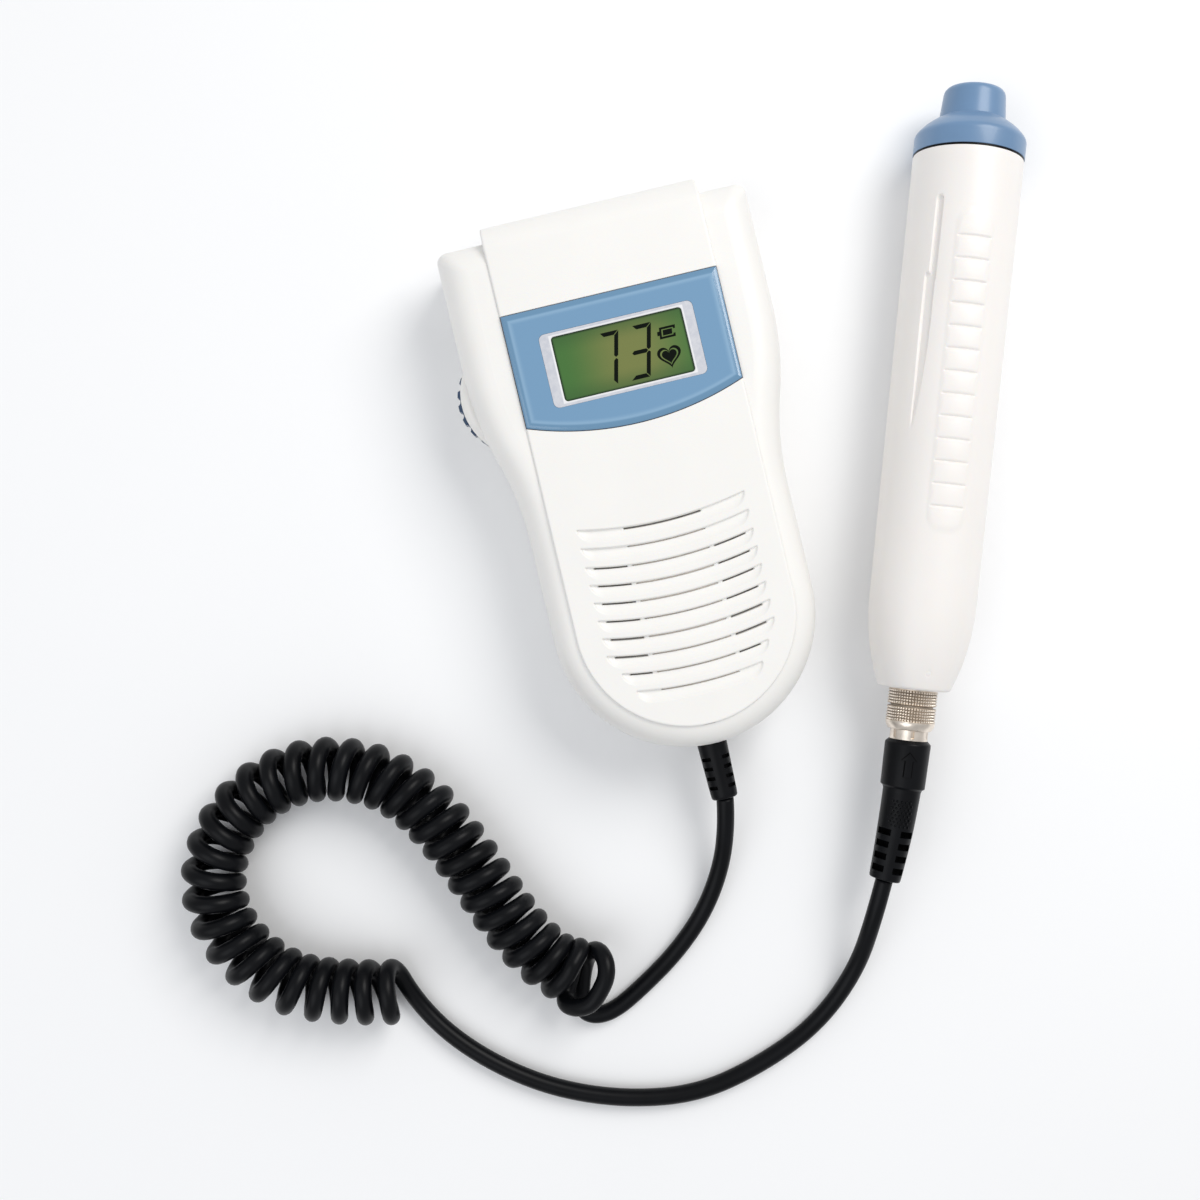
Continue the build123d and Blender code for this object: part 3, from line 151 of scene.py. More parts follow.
# gives a CAD node a finish of its own
def dress(node, material):
    mesh = nodes[node].data
    mesh.materials.clear()
    mesh.materials.append(material)


# a new object with its data, in the scene
def addObject(name, data):
    thing = bpy.data.objects.new(name, data)
    bpy.context.scene.collection.objects.link(thing)
    return thing


# puts a mesh in the scene as a piece of a body, with its materials; the slot is not used
def piece(name, mesh, body, slot, *materials):
    thing = addObject(name, mesh)
    for material in materials:
        mesh.materials.append(material)
    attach(thing, body)
    return thing


# marked faces take the piece's second material
def secondMaterial(mesh, marked):
    mesh.polygons.foreach_set("material_index", marked.ravel().astype(np.int32))


# a mesh from an array of points and a list of faces
def plainMesh(name, points, faces, smooth=True):
    mesh = bpy.data.meshes.new(name)
    mesh.from_pydata(points.reshape(-1, 3).tolist(), [], faces)
    mesh.polygons.foreach_set("use_smooth", np.full(len(mesh.polygons), smooth))
    mesh.update()
    return mesh


# quads of a grid of point numbers: each joins four neighbours
def gridQuads(index):
    corners = [index[..., :-1, :-1], index[..., :-1, 1:], index[..., 1:, 1:], index[..., 1:, :-1]]
    return np.stack(corners, axis=-1).reshape(-1, 4).tolist()


# a grid of points made a mesh: wrap joins the last column to the first, loop the last row to the first,
# caps closes the first and last rows with one face each, and an edge past the crease angle stays sharp
def gridMesh(name, points, wrap=False, loop=False, caps=False, flip=False, smooth=True, crease=None):
    rows, columns = points.shape[:2]
    index = np.arange(rows * columns).reshape(rows, columns)
    ends = [index[0, ::-1].tolist(), index[-1].tolist()] if caps else []
    if wrap:
        index = np.column_stack([index, index[:, 0]])
    if loop:
        index = np.vstack([index, index[:1]])
    faces = gridQuads(index) + ends
    if flip:
        faces = [face[::-1] for face in faces]
    mesh = plainMesh(name, points, faces, smooth)
    if crease:
        mesh.set_sharp_from_angle(angle=radians(crease))
    return mesh


# 0 to 1 with level ends
def smoothStep(value, low, high):
    share = np.clip((value - low) / (high - low), 0, 1)
    return share * share * (3 - 2 * share)


# a value between two, by a share of the way
def between(pair, share):
    return pair[0] + (pair[1] - pair[0]) * share


# even stretches of places one after another, each from, to and count
def stretches(spans):
    return np.concatenate([np.linspace(*span) for span in spans])


# finishes
moulded = dict(rough=0.38, rub=0.08, spread=0.008, grain=0.45, grainStrength=0.12)
finishes = {
    "whiteShell": dict(moulded, colour=(0.88, 0.868, 0.84), glow=0.08),
    "probeWhite": dict(moulded, colour=(0.875, 0.846, 0.818), glow=0.165),
    "wheelBlue": dict(colour=(0.05, 0.09, 0.17), rough=0.3, rub=0.12, spread=0.06, grain=0.5, grainStrength=0.1),
    "blueTrim": dict(colour=(0.145, 0.255, 0.42), rough=0.34, rub=0.10, spread=0.05, grain=0.4, grainStrength=0.1, coat=0.15),
    "clearAcrylic": dict(colour=(0.85, 0.86, 0.82), rough=0.2, rub=0.05, spread=0.02),
    "circuitBoard": dict(colour=(0.015, 0.10, 0.04), rough=0.35, rub=0.1, spread=0.2, cloud=6),
    "chipBlack": dict(colour=(0.012, 0.012, 0.013), rough=0.45, rub=0.1, spread=0.15),
    "zincSteel": dict(colour=(0.56, 0.56, 0.55), rough=0.32, rub=0.15, spread=0.06, metal=1.0),
    "speakerPaper": dict(colour=(0.015, 0.015, 0.016), rough=0.9, rub=0.1, spread=0.2, grain=0.25, grainStrength=0.5),
    "ferrite": dict(colour=(0.04, 0.04, 0.045), rough=0.55, rub=0.15, spread=0.15),
    "cellWrap": dict(colour=(0.02, 0.022, 0.03), rough=0.25, rub=0.08, spread=0.1, coat=0.3),
    "nickel": dict(colour=(0.86, 0.775, 0.68), rough=0.3, rub=0.14, rubSize=1.5, spread=0.10, cloud=2.5, grain=0.12, metal=1.0),
    "nickelShade": dict(colour=(0.46, 0.39, 0.32), rough=0.5, rub=0.1, spread=0.15, metal=1.0),
    "blackRubber": dict(
        colour=(0.003, 0.0034, 0.0045), rough=0.36, rub=0.10, specular=0.14, spread=0.2, cloud=9, grain=0.18, grainStrength=0.25,
    ),
    "blackPlastic": dict(colour=(0.014, 0.014, 0.015), rough=0.38, rub=0.1, spread=0.15),
    "ceramic": dict(colour=(0.52, 0.44, 0.30), rough=0.6, spread=0.06),
    "epoxy": dict(colour=(0.10, 0.065, 0.045), rough=0.4, spread=0.15),
    "goldPin": dict(colour=(0.75, 0.50, 0.18), rough=0.22, spread=0.05, metal=1.0),
    "slotShade": dict(colour=(0.0015, 0.0015, 0.002), rough=0.8, spread=0.05, specular=0.1),
    "lcdBlack": dict(colour=(0.003, 0.005, 0.003), rough=0.7, spread=0.1, specular=0.08),
}
# every finish as a material
made = {name: finish(name, settings) for name, settings in finishes.items()}
uvSpan = 10  # millimetres of inset in one unit of UV


# display window: blue sheet, deeper in the bevel and dark on its sides by painted shade,
# with a painted highlight, a bright line where the bevel meets the face, all by the inset
def windowFinish(settings):
    material, shader, place = newMaterial("windowBlue", Coat_Weight=settings["coat"], Coat_Roughness=settings["coatRough"])
    uv = place.node("ShaderNodeUVMap", {"uv_map": "inset"})
    inset = uv.node("ShaderNodeSeparateXYZ", Vector=uv) * uvSpan
    face = mixColour(inset.step(*settings["faceFrom"]), settings["bevel"], settings["face"])
    line = inset.step(*settings["highlightFrom"]) * (1 - inset.step(*settings["highlightTo"]))
    lit = mixColour(line * settings["highlightShare"], face, settings["line"])
    place.feed(shader.inputs["Base Color"], mixColour(inset.step(*settings["sideShadeTo"]), settings["side"], lit))
    rub = noise(place, settings["rubSize"], 3.0)
    place.feed(shader.inputs["Roughness"], settings["rough"] + (rub - 0.5) * settings["rub"])
    return material


# places across and along the front, in millimetres
def planPlace(place):
    parts = place.node("ShaderNodeSeparateXYZ", Vector=place)
    return parts * (1 / mm), Sock(place.tree, parts.out.node.outputs[1]) * (1 / mm)


# 1 within a rectangle and 0 outside it, fading between two half widths and two half heights
def insideBox(x, y, fadeX, fadeY):
    return (1 - abs(x).step(*fadeX)) * (1 - abs(y).step(*fadeY))


# back-lit display: green at the ends, olive in the middle, with painted shade towards its long edges and a painted
# shadow under its frame
def lcdFinish(settings):
    material, shader, place = newMaterial("lcdGreen", Roughness=0.4, Specular_IOR_Level=0.18)
    x, y = planPlace(place)
    fromMiddle = y - settings["middle"][1]
    ends = mixColour(abs(x - settings["middle"][0]).step(*settings["greenFrom"]), settings["olive"], settings["green"])
    edge = abs(fromMiddle).step(*settings["edgeShadeFrom"]) * settings["edgeShadeShare"]
    grain = (noise(place, settings["grainSize"], 1.0) - 0.5) * settings["grain"]
    lit = mixColour(edge + grain, ends, settings["edge"])
    place.feed(shader.inputs["Base Color"], mixColour(insideBox(x, fromMiddle, *settings["fade"]), settings["rim"], lit))
    return material


# frame round the display: pale grey, with a painted highlight, a white line, where it meets the display
def bezelFinish(settings):
    material, shader, place = newMaterial("lcdBezel", Roughness=0.4)
    x, y = planPlace(place)
    inside = insideBox(x, y - settings["middleY"], *settings["fade"])
    grey = cloudy(place, settings["cloud"], settings["grey"], settings["light"])
    place.feed(shader.inputs["Base Color"], mixColour(inside * settings["highlightShare"], grey, settings["line"]))
    return material


# slits of the grille: warm grey where they are narrow in the middle, dark at the sides and in the first row
def slitFinish(settings):
    material, shader, place = newMaterial("slitShade", Roughness=0.8)
    x, y = planPlace(place)
    pale = (1 - abs(x).step(*settings["middleTo"])) * (1 - y.step(*settings["firstRowFrom"]))
    dark = cloudy(place, settings["cloud"], settings["dark"], settings["darker"])
    place.feed(shader.inputs["Base Color"], mixColour(pale, dark, settings["pale"]))
    return material


# bevel and side are painted shade, line is a painted highlight
made["windowBlue"] = windowFinish({
    "face": (0.168, 0.322, 0.50), "bevel": (0.135, 0.275, 0.43), "line": (0.36, 0.54, 0.70), "side": (0.03, 0.06, 0.13),
    "faceFrom": (1.2, 1.7), "highlightFrom": (1.2, 1.75), "highlightTo": (1.85, 2.5), "highlightShare": 0.34, "sideShadeTo": (0.02, 0.14),
    "rough": 0.16, "rub": 0.06, "rubSize": 9, "coat": 0.5, "coatRough": 0.05,
})
# edge is painted shade towards the long edges, rim a painted shadow under the frame
made["lcdGreen"] = lcdFinish({
    "middle": (2.0, 29.6), "olive": (0.175, 0.20, 0.062), "green": (0.062, 0.165, 0.042), "greenFrom": (2.0, 17.0),
    "edge": (0.045, 0.115, 0.035), "edgeShadeFrom": (3.0, 8.6), "edgeShadeShare": 0.7, "grain": 0.06, "grainSize": 0.5,
    "rim": (0.012, 0.03, 0.012), "fade": ((15.65, 16.35), (7.4, 8.05)),
})
# line is a painted highlight along the display's edge
made["lcdBezel"] = bezelFinish({
    "middleY": 29.6, "grey": (0.55, 0.565, 0.62), "light": (0.62, 0.63, 0.67), "cloud": 1.2,
    "line": (0.86, 0.86, 0.87), "highlightShare": 0.8, "fade": ((16.75, 16.95), (8.4, 8.6)),
})
made["slitShade"] = slitFinish({
    "dark": (0.22, 0.205, 0.19), "darker": (0.13, 0.12, 0.115), "cloud": 3.0,
    "pale": (0.80, 0.73, 0.67), "middleTo": (9.8, 11.0), "firstRowFrom": (-14.1, -13.5),
})
nodeFinish = {
    "whiteShell": ["front_shell", "rear_shell", "battery_cover", "front_panel", "probe_handle"],
    "blueTrim": ["probe_cap"],
    "wheelBlue": ["volume_wheel"],
    "windowBlue": ["display_window"],
    "lcdBezel": ["lcd_frame"],
    "clearAcrylic": ["lcd_panel", "backlight"],
    "circuitBoard": ["main_board", "pot_board", "probe_board"],
    "chipBlack": ["board_chips", "headphone_jack"],
    "zincSteel": ["speaker_frame", "contact_tabs", "contact_springs", "volume_pot", "case_screws"],
    "speakerPaper": ["speaker_cone"],
    "ferrite": ["speaker_magnet"],
    "cellWrap": ["batteries"],
    "nickel": ["receptacle", "receptacle_nut", "plug_sleeve", "plug_shell"],
    "blackRubber": ["unit_strain_relief", "cap_seal", "plug_body", "cord_lead_unit", "cord_coil", "cord_lead_probe"],
    "blackPlastic": ["receptacle_insert", "plug_insert"],
    "ceramic": ["crystals"],
    "epoxy": ["crystal_backing"],
    "goldPin": ["receptacle_pins"],
}
for name, dressed in nodeFinish.items():
    for node in dressed:
        dress(node, made[name])
print("scene: finishes on the CAD nodes")

# camera, light and table
view = {"place": (-19.41, -27.56, 396.0), "turn": -13.4, "lens": 45.0, "nearest": 0.01}
camera = addObject("camera", bpy.data.cameras.new("camera"))
camera.data.lens = view["lens"]
camera.data.clip_start = view["nearest"]
camera.location = np.array(view["place"]) * mm
camera.rotation_euler = (0, 0, radians(view["turn"]))
bpy.context.scene.camera = camera

bpy.context.scene.view_settings.view_transform = "Standard"
lights = {
    "key": dict(place=(0.55, 0.35, 0.75), size=0.55, watts=5.5, colour=(1.0, 0.985, 0.96)),
    "fill": dict(place=(-0.55, -0.25, 0.85), size=0.8, watts=2.65, colour=(0.95, 0.97, 1.0)),
}
for name, lamp in lights.items():
    light = addObject(name, bpy.data.lights.new(name, "AREA"))
    light.data.size = lamp["size"]
    light.data.energy = lamp["watts"]
    light.data.color = lamp["colour"]
    light.location = x, y, z = lamp["place"]
    # it looks at the origin
    light.rotation_euler = (np.arctan2(np.hypot(x, y), z), 0, np.arctan2(-y, -x) - pi / 2)

sky = {"colour": (0.93, 0.94, 0.96, 1), "strength": 0.555}
world = bpy.data.worlds.new("world")
bpy.context.scene.world = world
world.use_nodes = True
world.node_tree.nodes["Background"].inputs["Color"].default_value = sky["colour"]
world.node_tree.nodes["Background"].inputs["Strength"].default_value = sky["strength"]

tableTop = {
    "half": 3.0, "drop": 0.0002,
    "finish": dict(colour=(0.935, 0.94, 0.948), rough=0.6, spread=0.006, cloud=220, grain=2.0, grainStrength=0.03),
}
corners = np.meshgrid([-tableTop["half"], tableTop["half"]], [-tableTop["half"], tableTop["half"]])
tablePoints = np.stack([*corners, np.full((2, 2), -tableTop["drop"])], axis=-1)
table = addObject("table", gridMesh("table", tablePoints, smooth=False))
table.data.materials.append(finish("tableTop", tableTop["finish"]))
print("scene: camera, light and table")

# cord
cord = {
    "wire": 4.5, "sides": 18, "order": 3, "resolution": 24, "unitSteps": 260, "probeSteps": 200, "bridgeSteps": 24,
    "unitPull": 0.95, "probePull": 1.15, "radius": 6.1, "turns": 32.25, "ringsPerTurn": 44, "phase": 0.5,
    "lean": 3.4, "leaning": 5.0, "crowding": 0.07,
    "unitLead": [
        (0, -84.2, 12), (-1.0, -90.6, 10.8), (-4.7, -102.2, 5.9), (-11.8, -113.2, 3.8), (-21.4, -122.1, 2.6),
        (-32.2, -128.9, 2.25), (-39.9, -132.9, 2.25), (-45.0, -133.6, 2.25), (-48.3, -132.0, 2.25), (-48.9, -129.0, 2.25),
        (-47.8, -126.0, 2.25), (-46.6, -122.2, 2.4), (-44.7, -118.1, 3.8), (-42.6, -115.2, 7.5), (-40.4, -114.8, 11.5),
        (-39.2, -117.3, 14.2), (-39.9, -121.0, 15.2), (-42.4, -124.2, 15.4), (-45.4, -127.1, 14.8), (-49.2, -127.7, 13.0),
        (-52.2, -126.9, 9.8), (-52.0, -125.3, 6.6), (-50.4, -122.8, 5.6), (-48.4, -118.9, 5.8), (-46.6, -114.9, 7.2),
        (-44.9, -112.7, 9.9), (-44.8, -113.5, 13.4), (-47.3, -115.8, 14.8),
    ],
    "coilAxis": [
        (-50.0, -118.7, 8.6), (-54.6, -114.2, 8.6), (-58.4, -108.2, 8.6), (-61.7, -101.4, 8.6), (-65.6, -91.2, 8.6),
        (-70.2, -79.6, 8.6), (-77.6, -65.6, 8.6), (-88.6, -56.2, 8.6), (-104.0, -52.0, 8.6), (-120.0, -55.8, 8.6),
        (-132.0, -68.2, 8.6), (-134.9, -84.0, 8.6), (-127.6, -99.4, 8.6), (-113.6, -109.9, 8.6), (-92.2, -114.15, 8.6),
    ],
    "probeLead": [
        (-92.4, -111.9, 4.1), (-90.9, -118.2, 2.3), (-83.8, -130.0, 2.3), (-72.4, -141.4, 2.3), (-58.7, -150.5, 2.3),
        (-41.9, -156.9, 2.3), (-24.1, -159.5, 2.3), (-6.5, -155.9, 2.3), (10.1, -148.9, 2.7), (23.3, -136.8, 5.0),
        (30.6, -121.2, 13.6), (34.54, -113.45, 14.15),
    ],
}


# points down a smooth NURBS line through the listed control points, then again at even steps by its length
def routeLine(name, points, count):
    curve = bpy.data.curves.new(name, "CURVE")
    curve.dimensions = "3D"
    spline = curve.splines.new("NURBS")
    spline.points.add(len(points) - 1)
    spline.points.foreach_set("co", np.column_stack([np.array(points) * mm, np.ones(len(points))]).ravel())
    spline.order_u = cord["order"]
    spline.use_endpoint_u = True
    curve.resolution_u = cord["resolution"]
    holder = bpy.data.objects.new(name, curve)
    mesh = bpy.data.meshes.new_from_object(holder)
    line = np.zeros(len(mesh.vertices) * 3)
    mesh.vertices.foreach_get("co", line)
    bpy.data.objects.remove(holder)
    bpy.data.curves.remove(curve)
    bpy.data.meshes.remove(mesh)
    line = line.reshape(-1, 3)
    along = np.concatenate([[0], np.cumsum(np.linalg.norm(np.diff(line, axis=0), axis=1))])
    at = np.linspace(0, along[-1], count)
    return np.stack([np.interp(at, along, line[:, k]) for k in range(3)], axis=1)


# unit direction along a line at each of its points
def directions(line):
    ahead = np.gradient(line, axis=0)
    return ahead / np.linalg.norm(ahead, axis=1, keepdims=True)


# helix about a line: the line, plus its level left and its up times the cosine and sine of a turning angle;
# it turns a little faster at first, and the last turns lean back on their left side
def helixAbout(line):
    ahead = directions(line)
    left = np.cross([0, 0, 1], ahead)
    left /= np.linalg.norm(left, axis=1, keepdims=True)
    up = np.cross(ahead, left)
    down = np.linspace(0, 1, len(line))
    turn = cord["phase"] * pi - 2 * pi * cord["turns"] * (down + cord["crowding"] * np.sin(pi * down) / pi)
    share = np.clip(1 - cord["turns"] / cord["leaning"] * (1 - down), 0, 1)
    back = cord["lean"] * mm * share**2 * (3 - 2 * share) * (1 + np.cos(turn)) / 2
    across = left * np.cos(turn)[:, None] + up * np.sin(turn)[:, None]
    return line + cord["radius"] * mm * across - ahead * back[:, None]


# cubic bridge from the end of one line to the start of another: the Hermite form, its speeds the gap times a pull
def bridge(first, second, count, pull):
    start, end = first[-1], second[0]
    startWay, endWay = directions(first)[-1], directions(second)[0]
    share = np.linspace(0, 1, count + 2)[1:-1, None]
    gap = np.linalg.norm(end - start) * pull
    return (
        start * (2 * share**3 - 3 * share**2 + 1) + startWay * gap * (share**3 - 2 * share**2 + share)
        + end * (3 * share**2 - 2 * share**3) + endWay * gap * (share**3 - share**2)
    )


# tube round a line: each ring lies across the line, on a frame carried along it without twist
def tubeAlong(line, radius, sides):
    ahead = directions(line)
    side = np.zeros_like(line)
    side[0] = np.cross(ahead[0], [0, 0, 1])
    for k in range(1, len(line)):
        carried = side[k - 1] - ahead[k] * (side[k - 1] @ ahead[k])
        side[k] = carried / np.linalg.norm(carried)
    over = np.cross(ahead, side)
    turn = np.linspace(0, 2 * pi, sides, endpoint=False)
    ring = side[:, None, :] * np.cos(turn)[None, :, None] + over[:, None, :] * np.sin(turn)[None, :, None]
    return line[:, None, :] + radius * ring


unitLine = routeLine("unitRoute", cord["unitLead"], cord["unitSteps"])
probeLine = routeLine("probeRoute", cord["probeLead"], cord["probeSteps"])
helix = helixAbout(routeLine("coilRoute", cord["coilAxis"], int(cord["turns"] * cord["ringsPerTurn"])))
toHelix = bridge(unitLine, helix, cord["bridgeSteps"], cord["unitPull"])
fromHelix = bridge(helix, probeLine, cord["bridgeSteps"], cord["probePull"])
cordLine = np.concatenate([unitLine, toHelix, helix, fromHelix, probeLine])
cordRings = tubeAlong(cordLine, cord["wire"] / 2 * mm, cord["sides"])
cordMesh = gridMesh("curlyCord", cordRings, wrap=True, caps=True)
cordPiece = piece("curlyCord", cordMesh, "unit", "black_rubber", made["blackRubber"])
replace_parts(cordPiece, "cord_lead_unit", "cord_coil", "cord_lead_probe")

# front panel: straight sides, a half-round foot, rows that follow the louvres and the display's foot
panel = {
    "half": 27.2, "overlap": 0.14, "footCentre": -36.0, "face": 28.9, "thick": 3.0, "edge": 0.6, "columns": 110,
    "edgeColumns": (0.62, 0.45, 0.3, 0.16, 0.06, 0.0), "edgeZone": 0.9,
    "bendAt": 62, "bend": 7.0, "bendRows": 22, "endFloor": 15.0, "endRows": 6,
    "windowTop": 45.4, "windowFoot": 12.5, "windowSag": 4.9, "windowSink": 1.62, "gap": 0.16,
    "opening": (19.6, 9.4), "openingY": 29.8,
    "louvres": 10, "pitch": 4.47, "firstLouvre": -12.5, "lift": (0.45, 0.28), "arc": 97.5, "levelFrom": (54.5, 61.5),
    "halfSpans": (21.0,) * 8 + (18.4, 15.8), "depth": 0.85, "fade": 3.0, "endFade": 3.4,
    "slitFrom": 0.10, "slitWidth": (0.24, 0.34), "slitDepth": 0.7, "centreSlit": 9.8, "rib": 1.2, "slitMargin": 1.9,
    "plainRows": ((62, 46.2, 12), (44.6, 13.2, 24), (11.4, -11.6, 16)), "windowRows": (0, 0.08, 0.3, -0.01),
    "louvreRows": (
        -0.5, -0.14, -0.03, 0.03, 0.1, 0.11, 0.22, 0.33, 0.34, 0.43, 0.44, 0.62, 0.8, 1.0, 1.2, 1.4, 1.6, 1.8, 2.0, 2.2,
        2.35, 2.5, 2.65, 2.75, 2.85, 3.0, 3.2, 3.5,
    ),
    "footRadius": 26.4, "footTurns": (48, 84, 10), "lastRows": (-62.6, -62.8, -63.0, -63.12, -63.18),
}


# rise of an arc of a curvature at a distance beside the axis: (1 - sqrt(1 - (k x)^2)) / k
def arcRise(curvature, x):
    return curvature * x**2 / (1 + np.sqrt(np.maximum(1 - (curvature * x) ** 2, 0)))


# upper edges of the louvres on the middle line: even steps, the first two a little higher
def louvreLines():
    lines = panel["firstLouvre"] - panel["pitch"] * np.arange(panel["louvres"])
    lines[:2] += panel["lift"]
    return lines


# rows down the band: close together at each louvre, at the window's edges and round the foot
def panelRows():
    gap, offset = panel["gap"], np.array(panel["windowRows"])
    edges = np.concatenate([panel["windowTop"] + gap + offset, panel["windowFoot"] - gap - offset])
    louvres = (louvreLines()[:, None] - np.array(panel["louvreRows"])).ravel()
    turn = np.radians(np.linspace(*panel["footTurns"]))
    foot = np.concatenate([panel["footCentre"] - panel["footRadius"] * np.sin(turn), panel["lastRows"]])
    rows = np.concatenate([stretches(panel["plainRows"]), edges, louvres, foot[foot < louvres.min() - 0.2]])
    return np.unique(np.round(rows, 4))[::-1]


# curvature of a row: the window foot's, the louvres', level above the window and at the very foot
def rowCurvature(row):
    sag, half = panel["windowSag"], panel["half"]
    upper = 2 * sag / (half**2 + sag**2) * (1 - smoothStep(row, panel["windowFoot"] + 3, panel["windowTop"] - 3))
    toLouvres = smoothStep(-row, -panel["windowFoot"] + 2, -panel["firstLouvre"] - 2)
    mixed = upper * (1 - toLouvres) + 1 / panel["arc"] * toLouvres
    return mixed * (1 - smoothStep(-row, *panel["levelFrom"]))


# half width of each row, where its curve meets the band's outline: found by stepping 0.4 of the way again and again
def rowHalf(row, curvature):
    widest = panel["half"] + panel["overlap"]
    half = np.full_like(row, widest)
    for _ in range(60):
        under = np.minimum(row + arcRise(curvature, half) - panel["footCentre"], 0)
        half = 0.6 * half + 0.4 * np.sqrt(np.maximum(widest**2 - under**2, 0.01))
    return half


# scoop below a louvre line: a sharp upper edge, then a dish whose lower edge curves up to the line at both ends
def louvreDepth(x, below, halfSpan):
    beyond = np.clip((np.abs(x) - halfSpan + panel["endFade"]) / panel["endFade"], 0, 1)
    reach = panel["fade"] * np.sqrt(1 - beyond**2.4) + 0.001
    drop = smoothStep(below, -0.12, 0.06) * np.where(below > 0, 1 - np.clip(below / reach, 0, 1) ** 2.2, 1)
    return panel["depth"] * drop * (beyond < 1) * (1 - 0.35 * beyond**2)


# open slit at the upper edge of a louvre: the centre stretch, and the outer ones on the wide rows
def slitOpen(x, below, louvre, halfSpan):
    across = np.abs(x)
    centre = across < panel["centreSlit"]
    narrow, wide = panel["slitWidth"]
    width = np.where(centre & (louvre > 0), narrow, wide)
    inSlit = (below > panel["slitFrom"]) & (below < panel["slitFrom"] + width)
    outer = (across > panel["centreSlit"] + panel["rib"]) & (across < halfSpan - panel["slitMargin"])
    return inSlit & (centre | (outer & (1 < louvre) & (louvre < panel["louvres"] - 1)))


# the band's face: across, even shares of the row's half width, closer at its edge; along, the row plus its arc's rise;
# below the face, the quarter round of the edge plus the scoops and slits, or the window's pocket and the opening in it
def panelFace():
    row = panelRows()
    curvature = rowCurvature(row)
    half = rowHalf(row, curvature)[:, None]
    scale = np.minimum(1, half / 4)
    flat = (half - panel["edgeZone"] * scale) * np.linspace(-1, 1, panel["columns"] * 2 + 1)
    side = half - np.array(panel["edgeColumns"]) * scale
    x = np.concatenate([-side[:, ::-1], flat, side], axis=1)
    y = row[:, None] + arcRise(curvature[:, None], x)
    widest, edge = panel["half"] + panel["overlap"], panel["edge"]
    inset = np.where(y > panel["footCentre"], widest - np.abs(x), widest - np.hypot(x, y - panel["footCentre"]))
    drop = edge - np.sqrt(edge**2 - (edge - np.clip(inset, 0, edge)) ** 2)
    slits = np.zeros_like(x, dtype=bool)
    for louvre, (line, halfSpan) in enumerate(zip(louvreLines(), panel["halfSpans"])):
        below = np.broadcast_to((line - row)[:, None], x.shape)
        opened = slitOpen(x, below, louvre, halfSpan)
        drop = drop + louvreDepth(x, below, halfSpan) + opened * panel["slitDepth"]
        slits |= opened
    pocket = (row > panel["windowFoot"] - panel["gap"] + 0.001) & (row < panel["windowTop"] + panel["gap"] - 0.001)
    drop = np.where(pocket[:, None], panel["windowSink"], drop)
    halfX, halfY = panel["opening"]
    drop = np.where((np.abs(x) < halfX) & (np.abs(y - panel["openingY"]) < halfY), panel["thick"], drop)
    return x, y, drop, slits


# the whole band: its face, its way round the display end and a skirt; round the end the rows turn by an angle about
# the bend's centre and then run straight down, each sunk by the first row's drop
def makePanel():
    x, y, drop, slits = panelFace()
    bend, end = panel["bend"], panel["bendAt"] + panel["bend"]
    turn = np.radians(np.linspace(0, 90, panel["bendRows"])[1:])
    fall = np.linspace(0, panel["face"] - bend - panel["endFloor"], panel["endRows"])[1:]
    outY = np.concatenate([np.sin(turn), np.ones(fall.size)])[:, None]
    outZ = np.concatenate([np.cos(turn), np.zeros(fall.size)])[:, None]
    bendY = np.concatenate([panel["bendAt"] + bend * np.sin(turn), np.full(fall.size, end)])[:, None]
    bendZ = np.concatenate([panel["face"] - bend * (1 - np.cos(turn)), panel["face"] - bend - fall])[:, None]
    around = np.stack(np.broadcast_arrays(x[:1], bendY - outY * drop[0], bendZ - outZ * drop[0]), axis=-1)
    sheet = np.concatenate([around[::-1], np.stack([x, y, panel["face"] - drop], axis=-1)])

    # skirt along both sides, against the way each row faces, then at the foot, and a turned-in edge at the display end
    outward = np.concatenate([np.column_stack([np.zeros_like(outY), outY, outZ])[::-1], np.tile([0.0, 0.0, 1.0], (len(x), 1))])
    inward = (-outward * (panel["thick"] - panel["edge"]))[:, None]
    sheet = np.concatenate([sheet[:, :1] + inward, sheet, sheet[:, -1:] + inward], axis=1)
    foot, lip = sheet[-1:].copy(), sheet[:1].copy()
    foot[..., 2] = panel["face"] - panel["thick"]
    lip[..., 1] = end - panel["thick"] / 2
    mesh = gridMesh("frontPanel", np.concatenate([lip, sheet, foot]) * mm, flip=True)

    # a face between four open points takes the slits' material, and one at any open point is flat, so that edges stay sharp
    opened = np.pad(slits, ((1 + len(around), 1), (1, 1)))
    corners = np.stack([opened[:-1, :-1], opened[1:, 1:], opened[:-1, 1:], opened[1:, :-1]])
    secondMaterial(mesh, corners.all(axis=0))
    mesh.polygons.foreach_set("use_smooth", ~corners.any(axis=0).ravel())
    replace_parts(piece("frontPanel", mesh, "unit", "white_shell", made["whiteShell"], made["slitShade"]), "front_panel")


makePanel()
print("scene: front panel")

# display: the window's bevel and the frame's two sides as inset or growth and height; sides counts a ring's points
display = {
    "half": 27.2, "top": 45.4, "foot": 12.5, "sag": 4.9, "faceInset": 5.0, "sides": (64, 24, 64, 24),
    "bevel": ((0.0, 27.3), (0.0, 28.75), (0.12, 28.95), (0.4, 29.08), (0.9, 29.2), (1.45, 29.27), (1.8, 29.3), (2.1, 29.3)),
    "opening": (29.3, 29.25, 27.3), "frameHalf": (19.3, 9.2), "frameRound": 1.5, "frameGap": 0.03,
    "frameOutside": ((0, 27.3), (0, 29.21), (0.06, 29.27)), "frameInside": ((0.18, 29.27), (0.05, 29.22), (0, 29.12), (0, 27.3)),
    "lcdY": 29.6, "lcdHalf": (16.4, 8.1), "lcdRound": 0.9, "lcdMargin": 0.3, "lcdFace": 28.95, "lcdThick": 1.2,
}
